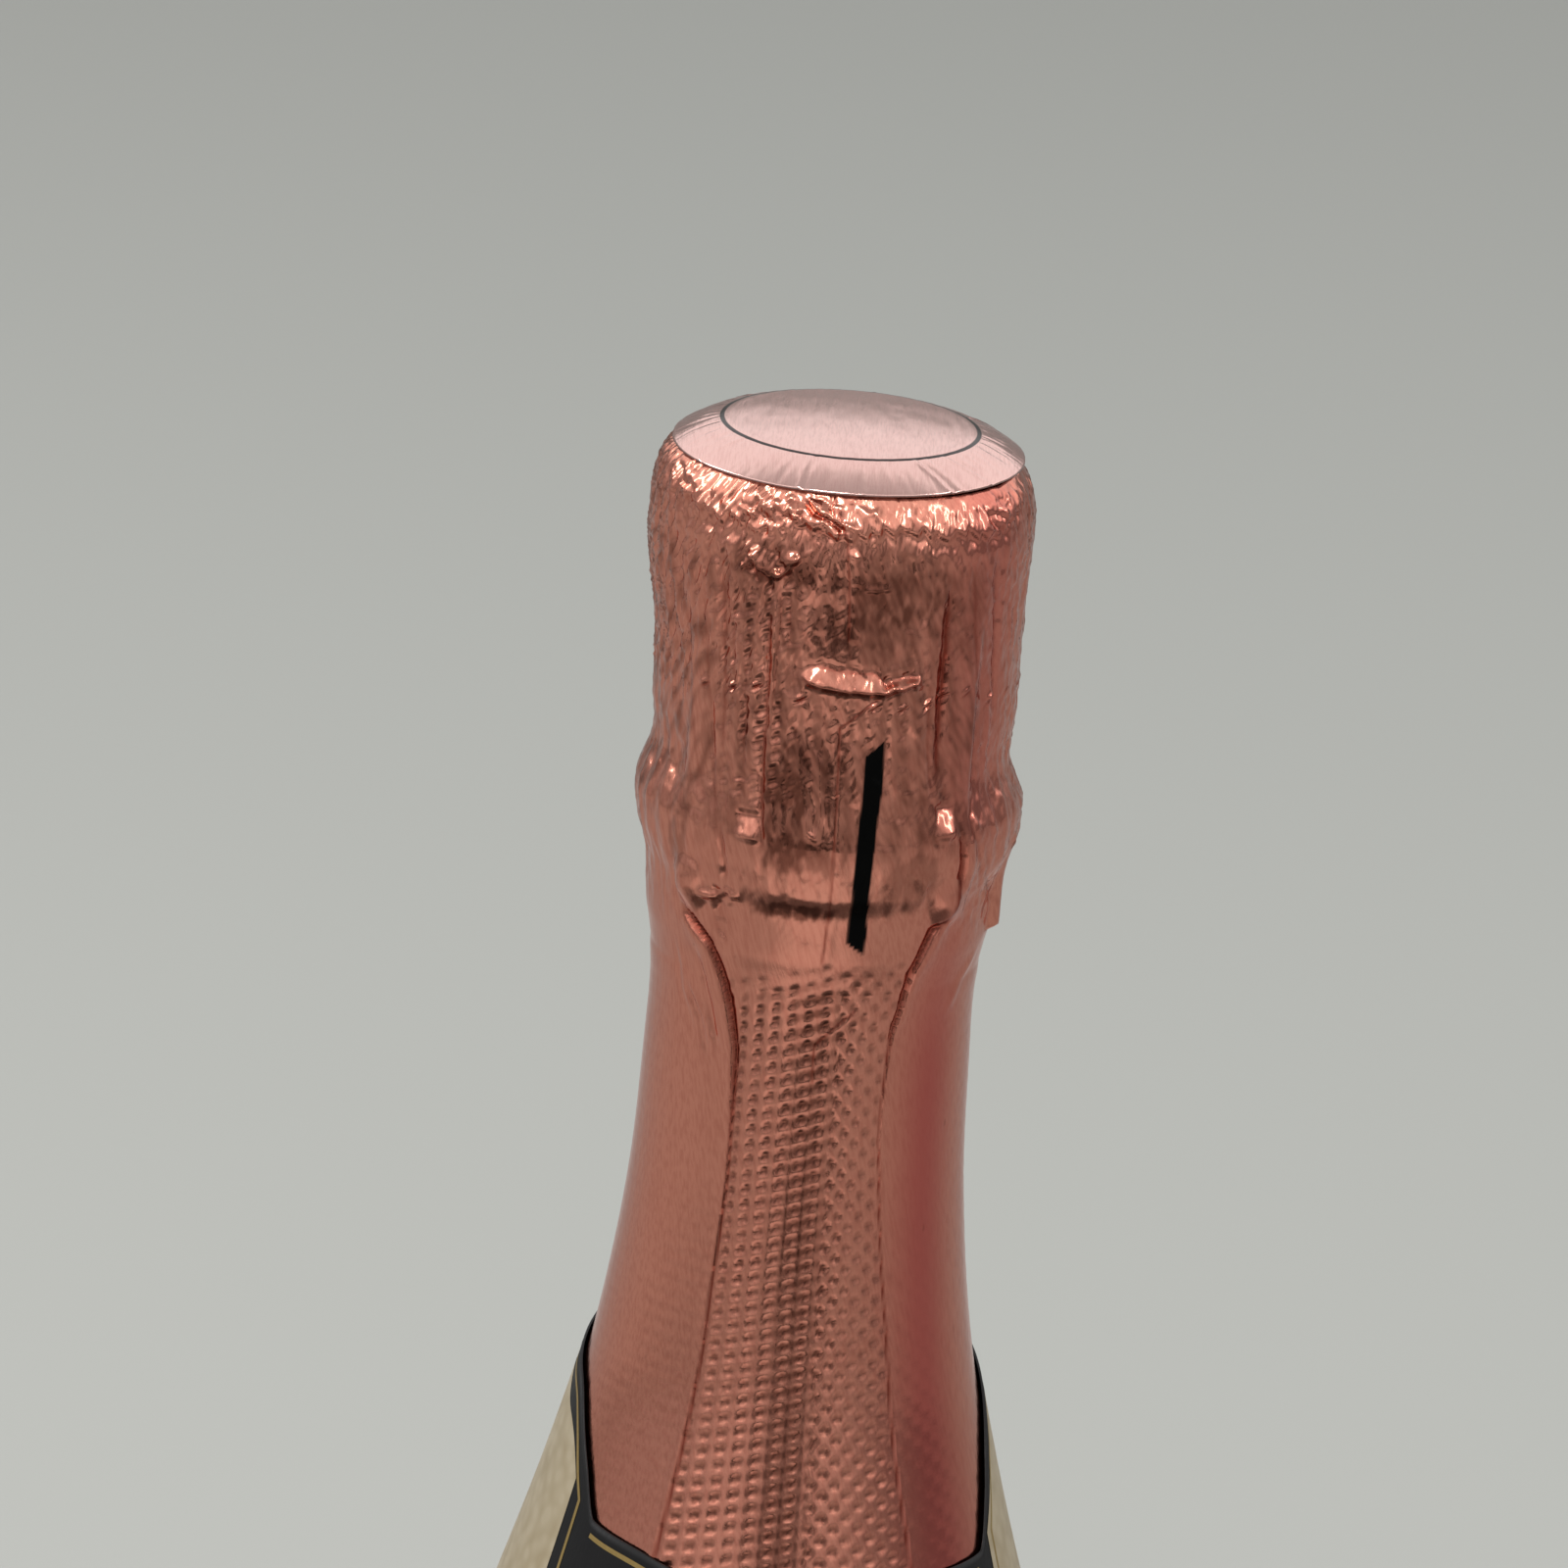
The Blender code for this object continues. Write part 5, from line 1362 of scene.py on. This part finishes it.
def rounded_box(half_wide, half_high, corner):
    """Closed outline of a rectangle with rounded corners: its x and its z."""
    quarter = np.linspace(0.0, math.pi / 2, CORNER_POINTS)
    a = np.concatenate([quarter + k * math.pi / 2 for k in range(4)])
    x = np.repeat([1, -1, -1, 1], CORNER_POINTS) * (half_wide - corner) + corner * np.cos(a)
    z = np.repeat([1, 1, -1, -1], CORNER_POINTS) * (half_high - corner) + corner * np.sin(a)
    return np.array([np.append(x, x[0]), np.append(z, z[0])])


def frame_line(middle, box, inset, line, corner):
    """A printed rectangle with rounded corners, as a narrow band whose points are spaced by length."""
    width, low, height = box
    half_wide, half_high = width / 2 - inset, height / 2 - inset
    radius = BODY_R + BODY_LABEL_OFF + BODY_LINE_LIFT
    outer = rounded_box(half_wide, half_high, corner)
    inner = rounded_box(half_wide - line, half_high - line, max(corner - line, 0.3))
    travel = length_along(outer.T)
    count = np.arange(len(travel))
    places = np.interp(np.linspace(0.0, travel[-1], FRAME_STEPS + 1)[:-1], travel, count)
    rings = []
    for outline in (outer, inner):
        x, z = (np.interp(places, count, values) for values in outline)
        rings.append(spot_on(np.full_like(x, radius), low + height / 2 + z, middle + x / radius))
    return np.stack(rings, 1).reshape(-1, 3), grid_faces(FRAME_STEPS, 2, True)


def add_body_labels():
    paper, gold, beige = paper_finish(), gold_finish(), beige_finish()
    for name, middle, box, plates, field_box, field_corner in BODY_LABELS:
        sheet_parts = label_sheet(middle, box, PAPER_CORNER, PAPER_LIFT)
        sheet = new_mesh(f"{name}_label_paper", *sheet_parts, paper, "root")
        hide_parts(f"{name}_label")
        frames = ((box, 2.0, 0.8, 2.0), (box, 3.6, 0.3, 1.5), *plates)
        parts = [frame_line(middle, *given) for given in frames]
        lines = joined(f"{name}_label_gold_lines", parts, gold, "root")
        field_parts = label_sheet(middle, field_box, field_corner, BODY_FIELD_LIFT)
        field = new_mesh(f"{name}_label_gold_field", *field_parts, beige, "root")


# Glass, wine and cork

QUARTER = math.pi / 2
# Glass: punt and foot ring, bead, mouth with its lip, bore, and the inside of the base up over the punt
GLASS_FOOT = arc(0.0, 0.0, 30.0, 30.0, QUARTER, 0.0, 24) + arc(36.5, 8.0, 7.8, 8.0, -QUARTER, 0.0)
GLASS_BEAD = [(NECK_R, 283.6)] + arc(NECK_R, 287.8, 1.1, 3.6, -QUARTER, QUARTER)
GLASS_MOUTH = [(13.15, 291.9), (13.1, 293.0), (13.2, 293.8), (14.0, 294.3)] + wall(14.3, 294.8, 299.2, 5)
GLASS_LIP = arc(13.5, 299.2, 0.8, 0.8, 0.2, QUARTER, 6) + arc(9.55, 299.2, 0.8, 0.8, QUARTER, math.pi, 6)
GLASS_BORE = wall(8.75, 298.0, 274.0, 6) + [(8.8, 262.0)]
GLASS_BASE = arc(37.35, 11.25, 2.25, 2.25, 0.0, -math.pi) + arc(0.0, 11.25, 35.1, 25.75, 0.05, QUARTER, 24)
# Wine: over the punt, round the base, and its surface, from the wall inwards
WINE_BASE = (
    [(0.0, 37.3)] + arc(0.0, 11.25, 34.8, 26.05, QUARTER - 0.05, 0.0, 22)
    + arc(37.35, 11.25, -1.95, -1.95, 0.0, math.pi, 12)
)
WINE_SURFACE = ((0.0, 233.0), (-0.15, 234.0), (-0.5, 233.7), (-1.2, 233.55))
WINE_MIDDLE = (0.0, 233.5)
# Cork: the part in the neck, the collar over the mouth, and the crown
CORK_R = 8.6
CORK_FOOT = [(0.0, 285.6), (8.5, 285.6), (CORK_R, 285.9)] + wall(CORK_R, 287.0, 299.0, 12)
CORK_COLLAR = [(9.1, 300.3), (11.5, 300.4), (13.2, 300.45), (13.6, 300.9)]
CORK_CROWN = arc(11.0, SIDE_TOP, 3.5, 3.5, 0.1, 1.2, 12)
CORK_CROWN += [(9.0, 316.35), (6.0, 317.0), (3.0, 317.5), (0.0, 317.75)]
CORK_DISCS = (("cork_disc_lower", 275.0), ("cork_disc_upper", 280.3))


def add_glass():
    outside, inside = glass_wall(0.0, 20.0, 268.0, 90), glass_wall(4.7, 260.0, 22.0, 80)
    out = GLASS_FOOT + outside + GLASS_BEAD + GLASS_MOUTH + GLASS_LIP + GLASS_BORE + inside + GLASS_BASE
    piece = turned("glass_bottle_smooth", out, 128, glass_finish(), "root")
    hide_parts("glass_bottle")
    out = WINE_BASE + glass_wall(5.0, 18.0, 232.4, 70)
    edge = out[-1][0]
    out += [(edge + inwards, z) for inwards, z in WINE_SURFACE] + [WINE_MIDDLE]
    wine = turned("wine_fill", out, 96, wine_finish(), "root")
    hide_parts("wine")


def cork_grain(phi, r, z):
    """Radius of the cork's head with its grains and the grooves that the cage's legs press into it."""
    grow = 0.05 * facets(phi * 14 / 1.466, z / 1.4, 60, 61) * ease((z - 300.0) / 1.0)
    crush = -0.35 * sum(bell(turn_from(phi, leg), 0.09) for leg in LEGS) * ease((z - 301.0) / 3.0)
    return r + np.where(r > 0.01, grow + crush * (r > 12.0), 0.0)


def add_cork():
    grown, sliced = cork_finish(), natural_cork_finish()
    z = np.linspace(301.5, SIDE_TOP, 30)
    head = list(zip(13.6 + 0.9 * ease((z - 300.9) / 5.0), z))
    out = CORK_FOOT + CORK_COLLAR + head + CORK_CROWN
    cork = turned("cork_body_grained", out, 120, grown, "cork", cork_grain)
    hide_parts("cork_body")
    for name, low in CORK_DISCS:
        out = [(0.0, low), (8.2, low), (8.55, low + 0.25)] + wall(CORK_R, low + 0.6, low + 4.4, 6)
        out += [(8.55, low + 4.75), (8.2, low + 5.0), (0.0, low + 5.0)]
        piece = turned(name + "_grained", out, 96, sliced, "cork")
        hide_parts(name)


# The cage

LEG_PATH = (
    (12.7, 0, 317.5), (13.9, 0, 316.85), (14.8, 0, 315.3), (15.28, 0, 312.3), (15.3, 0, 300.0),
    (15.3, 0, 285.0), (15.42, 0, 283.6),
)
PLAQUE_TOP, PLAQUE_THICK = 318.1, 0.3
# Rim of the plaque: radius, height over its edge
PLAQUE_RIM = ((13.18, 0.02), (13.2, 0.18), (13.1, 0.3))
RING_AT_R, RING_Z, RING_WIRE = 11.8, 317.68, 0.5
LEG_WIRE, LEG_PITCH, LEG_EYE_R, LEG_EYE_Z = 0.22, 6.2, 15.55, 282.55
BELT_R, BELT_WIRE = 14.25, 0.34
LOOP_WIRE, LOOP_HALF_WIDE, LOOP_HALF_HIGH = 0.38, 2.2, 1.7
STEM_WIRE, STEM_PITCH = 0.24, 3.2


def add_plaque():
    r = np.linspace(0.0, 13.05, 60)
    z = PLAQUE_TOP - 0.3 * ease((r - 7.0) / 6.2) - 1.9 * (r / 13.2) ** 3
    z = z + 0.12 * bell(r - 9.6, 0.35) - 0.10 * bell(r - 6.2, 0.3)
    out = list(zip(r, z)) + [(rim, z[-1] + rise) for rim, rise in PLAQUE_RIM]
    out += list(zip(r[::-1], z[::-1] + PLAQUE_THICK))
    piece = turned("plaque_pressed", out, 128, plaque_finish(), "cage")
    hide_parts("plaque")


def add_wires():
    wire = wire_finish()
    a = full_turn(128)
    path = np.stack([RING_AT_R * np.cos(a), RING_AT_R * np.sin(a), np.full(len(a), RING_Z)], 1)
    ring = joined("cage_ring_wire", [tube(path, RING_WIRE, 12, True)], wire, "cage")
    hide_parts("cage_ring")

    path = smooth_path(LEG_PATH, 170)
    b = np.linspace(0.35, TAU - 0.35, 30) + math.pi / 2
    side = np.linspace(-LEG_WIRE, LEG_WIRE, 30)
    eye = tube(np.stack([LEG_EYE_R + 0.60 * np.cos(b), side, LEG_EYE_Z + 0.95 * np.sin(b)], 1), LEG_WIRE, 8)
    for n, leg in enumerate(LEGS, start=1):
        about_axis = np.array(Matrix.Rotation(leg, 3, "Z")).T
        parts = [*strands(path, LEG_WIRE, LEG_PITCH, n * 0.9), eye]
        parts = [(points @ about_axis, faces) for points, faces in parts]
        piece = joined(f"cage_leg_{n}_twisted", parts, wire, "cage")
        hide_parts(f"cage_leg_{n}")

    a = full_turn(240)
    lift = sum(bell(np.abs(turn_from(a, leg)), 0.15) for leg in LEGS)
    radius = BELT_R + 1.3 * np.minimum(lift, 1.0) + 0.80 * bell(turn_from(a, 0.0), 0.16)
    path = np.stack([radius * np.cos(a), radius * np.sin(a), BELT_Z + 0.12 * np.sin(4 * a)], 1)
    belt = joined("cage_belt_wire", [tube(path, BELT_WIRE, 10, True)], wire, "cage")
    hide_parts("cage_belt")

    middle = LOOP_LOW + LOOP_WIRE + LOOP_HALF_HIGH
    top, join = BELT_Z - 0.75, middle + LOOP_HALF_HIGH - 0.2
    stem = smooth_path(((LOOP_AT, 0, top), (LOOP_AT, 0, 0.5 * (top + join)), (LOOP_AT, 0, join)), 24)
    b = np.linspace(-0.12, TAU + 0.12, 60)
    out, across, up = LOOP_AT + 0.08 * np.cos(b * 0.5), LOOP_HALF_WIDE * np.sin(b), LOOP_HALF_HIGH * np.cos(b)
    eye = tube(np.stack([out, across, middle + up], 1), LOOP_WIRE, 10)
    loop = joined("cage_loop_twisted", [*strands(stem, STEM_WIRE, STEM_PITCH, 0.0), eye], wire, "loop")
    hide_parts("cage_loop")


# Floor and lights, in metres

# Floor: half its width, where its flat part starts and how long that is, radius of the backdrop's bend
STAGE_HALF, STAGE_NEAR, STAGE_LONG, BACKDROP = 3.0, -3.0, 5.6, 1.4
STAGE_POINTS, FLAT_SHARE = 48, 0.6
FLOOR_NEAR, FLOOR_FAR, FLOOR_CLOUD = (0.445, 0.452, 0.43), (0.342, 0.347, 0.33), (0.36, 0.365, 0.345)
# What the foil mirrors of the floor, from far in front of the bottle to just behind it: y, brightness; a dark
# band far in front, and painted shade close in front of the bottle
MIRRORED_FLOOR = (
    (-2.4, 0.52), (-1.80, 0.50), (-1.52, 0.05), (-0.86, 0.05), (-0.75, 0.49), (-0.32, 0.47), (-0.22, 0.08),
    (-0.03, 0.08), (0.2, 0.40),
)
MIRRORED_SIDES = (0.30, 0.30, 0.29)
# Brightness of the studio by angle in degrees: 0 at the far horizon, 90 overhead, 180 at the near horizon
STUDIO = (
    (-170, 0.46), (-90, 0.22), (-8, 0.40), (4, 0.60), (16, 0.98), (36, 2.9), (52, 1.9), (66, 0.46),
    (94, 0.40), (108, 0.9), (118, 1.8), (140, 1.5), (154, 0.66), (166, 0.52), (178, 0.50),
)
SIDES_LOW_LEFT, SIDES_LOW_RIGHT, SIDES_TOP = 0.36, 0.21, (1.32, 1.32, 1.30)
DARK_FIGURE, DARK_FIGURE_SHARE, DARK_FIGURE_X, DARK_FIGURE_TOP = (0.03, 0.028, 0.028), 0.60, 0.12, 0.42
BACKGROUND = (0.41, 0.415, 0.395)
LAMPS_AIM_AT = Vector((0.0, 0.0, 0.28))
# Lamps: name, place, width and height, power, colour
LAMPS = (
    ("top_panel", (-0.25, -0.75, 1.55), (0.5, 0.35), 9.0, (1.0, 0.985, 0.96)),
    ("left_panel", (-1.3, 0.3, 1.1), (0.4, 0.9), 6.0, (1.0, 1.0, 1.0)),
    ("right_panel", (1.5, -0.5, 1.3), (0.3, 0.8), 4.0, (1.0, 1.0, 1.0)),
)


def stage_finish():
    """Pale floor that darkens a little up the backdrop; glossy rays see it with a dark band far in front and
    painted shade close to the bottle, which the foil mirrors.
    """
    f = Finish("pale_floor")
    x, y, _ = f.axes(f.here)
    pale = f.mix(f.smooth_range(y, 0.2, 2.4), FLOOR_NEAR, FLOOR_FAR)
    pale = f.mix(f.part(f.noise(3.0, 2.0), 0.08), pale, FLOOR_CLOUD)
    low = MIRRORED_FLOOR[0][0]
    span = MIRRORED_FLOOR[-1][0] - low
    stops = [((at - low) / span, (level, level * 0.99, level * 0.96)) for at, level in MIRRORED_FLOOR]
    bands = f.ramp(f.maths("MULTIPLY_ADD", y, 1.0 / span, -low / span), *stops)
    dark = f.mix(f.smooth_range(f.maths("ABSOLUTE", x), 0.08, 0.34), bands, MIRRORED_SIDES)
    base = f.mix(f.add("ShaderNodeLightPath").outputs["Is Glossy Ray"], pale, dark)
    return f.done(Base_Color=base, Roughness=0.9, Specular_IOR_Level=0.1)


def add_stage():
    t = np.linspace(0.0, 1.0, STAGE_POINTS)
    bend = (t - FLAT_SHARE) / (1.0 - FLAT_SHARE) * math.pi / 2
    flat = STAGE_NEAR + t / FLAT_SHARE * STAGE_LONG
    y = np.where(t < FLAT_SHARE, flat, STAGE_NEAR + STAGE_LONG + BACKDROP * np.sin(bend))
    z = np.where(t < FLAT_SHARE, 0.0, BACKDROP * (1 - np.cos(bend)))
    X, Y = np.meshgrid(np.linspace(-STAGE_HALF, STAGE_HALF, STAGE_POINTS), y, indexing="ij")
    points = np.stack([X, Y, np.repeat(z[None], STAGE_POINTS, 0)], -1)
    mesh = bpy.data.meshes.new("studio_floor")
    mesh.from_pydata(points.reshape(-1, 3).tolist(), [], grid_faces(STAGE_POINTS, STAGE_POINTS, False))
    mesh.polygons.foreach_set("use_smooth", [True] * len(mesh.polygons))
    mesh.materials.append(stage_finish())
    floor = bpy.data.objects.new("studio_floor", mesh)
    bpy.context.scene.collection.objects.link(floor)


def add_world():
    """Studio light by direction: an arch from front to back, grey sides, and something dark in front."""
    world = bpy.data.worlds.new("studio_world")
    bpy.context.scene.world = world
    w = Nodes(world)
    x, y, z = w.axes(w.add("ShaderNodeTexCoord").outputs["Generated"])
    over = w.maths("MULTIPLY_ADD", w.maths("ARCTAN2", z, y), 1.0 / TAU, 0.5)
    stops = [(angle / 360.0 + 0.5, (level, level, level * 0.985)) for angle, level in STUDIO]
    arch = w.ramp(over, *stops, shape="B_SPLINE")
    sides_low = w.smooth_range(x, -0.2, 0.2, SIDES_LOW_LEFT, SIDES_LOW_RIGHT)
    sides = w.mix(w.smooth_range(z, 0.06, 0.52), sides_low, SIDES_TOP)
    light = w.mix(w.smooth_range(w.maths("ABSOLUTE", x), 0.38, 0.95), arch, sides)
    off_middle = w.maths("ABSOLUTE", w.maths("SUBTRACT", x, DARK_FIGURE_X))
    figure = w.maths("MULTIPLY", w.smooth_range(off_middle, 0.32, 0.08), w.maths("LESS_THAN", y, 0.0))
    figure = w.maths("MULTIPLY", figure, w.maths("LESS_THAN", z, DARK_FIGURE_TOP))
    light = w.mix(w.part(figure, DARK_FIGURE_SHARE), light, DARK_FIGURE)
    shown = w.mix(w.add("ShaderNodeLightPath").outputs["Is Camera Ray"], light, BACKGROUND)
    w.put(w.nodes["Background"], Color=shown, Strength=1.0)


def add_lamps():
    for name, at, size, power, colour in LAMPS:
        lamp = bpy.data.lights.new(name, "AREA")
        lamp.shape = "RECTANGLE"
        lamp.size, lamp.size_y = size
        lamp.energy = power
        lamp.color = colour
        thing = bpy.data.objects.new(name, lamp)
        thing.location = at
        thing.rotation_euler = (LAMPS_AIM_AT - Vector(at)).to_track_quat("-Z", "Y").to_euler()
        bpy.context.scene.collection.objects.link(thing)


add_camera()
add_stage()
add_world()
add_lamps()
add_glass()
add_cork()
add_plaque()
add_wires()
add_top_disc()
add_neck_label()
add_body_labels()
add_foil()

bpy.context.scene.view_settings.view_transform = "Standard"

bpy.context.view_layer.update()
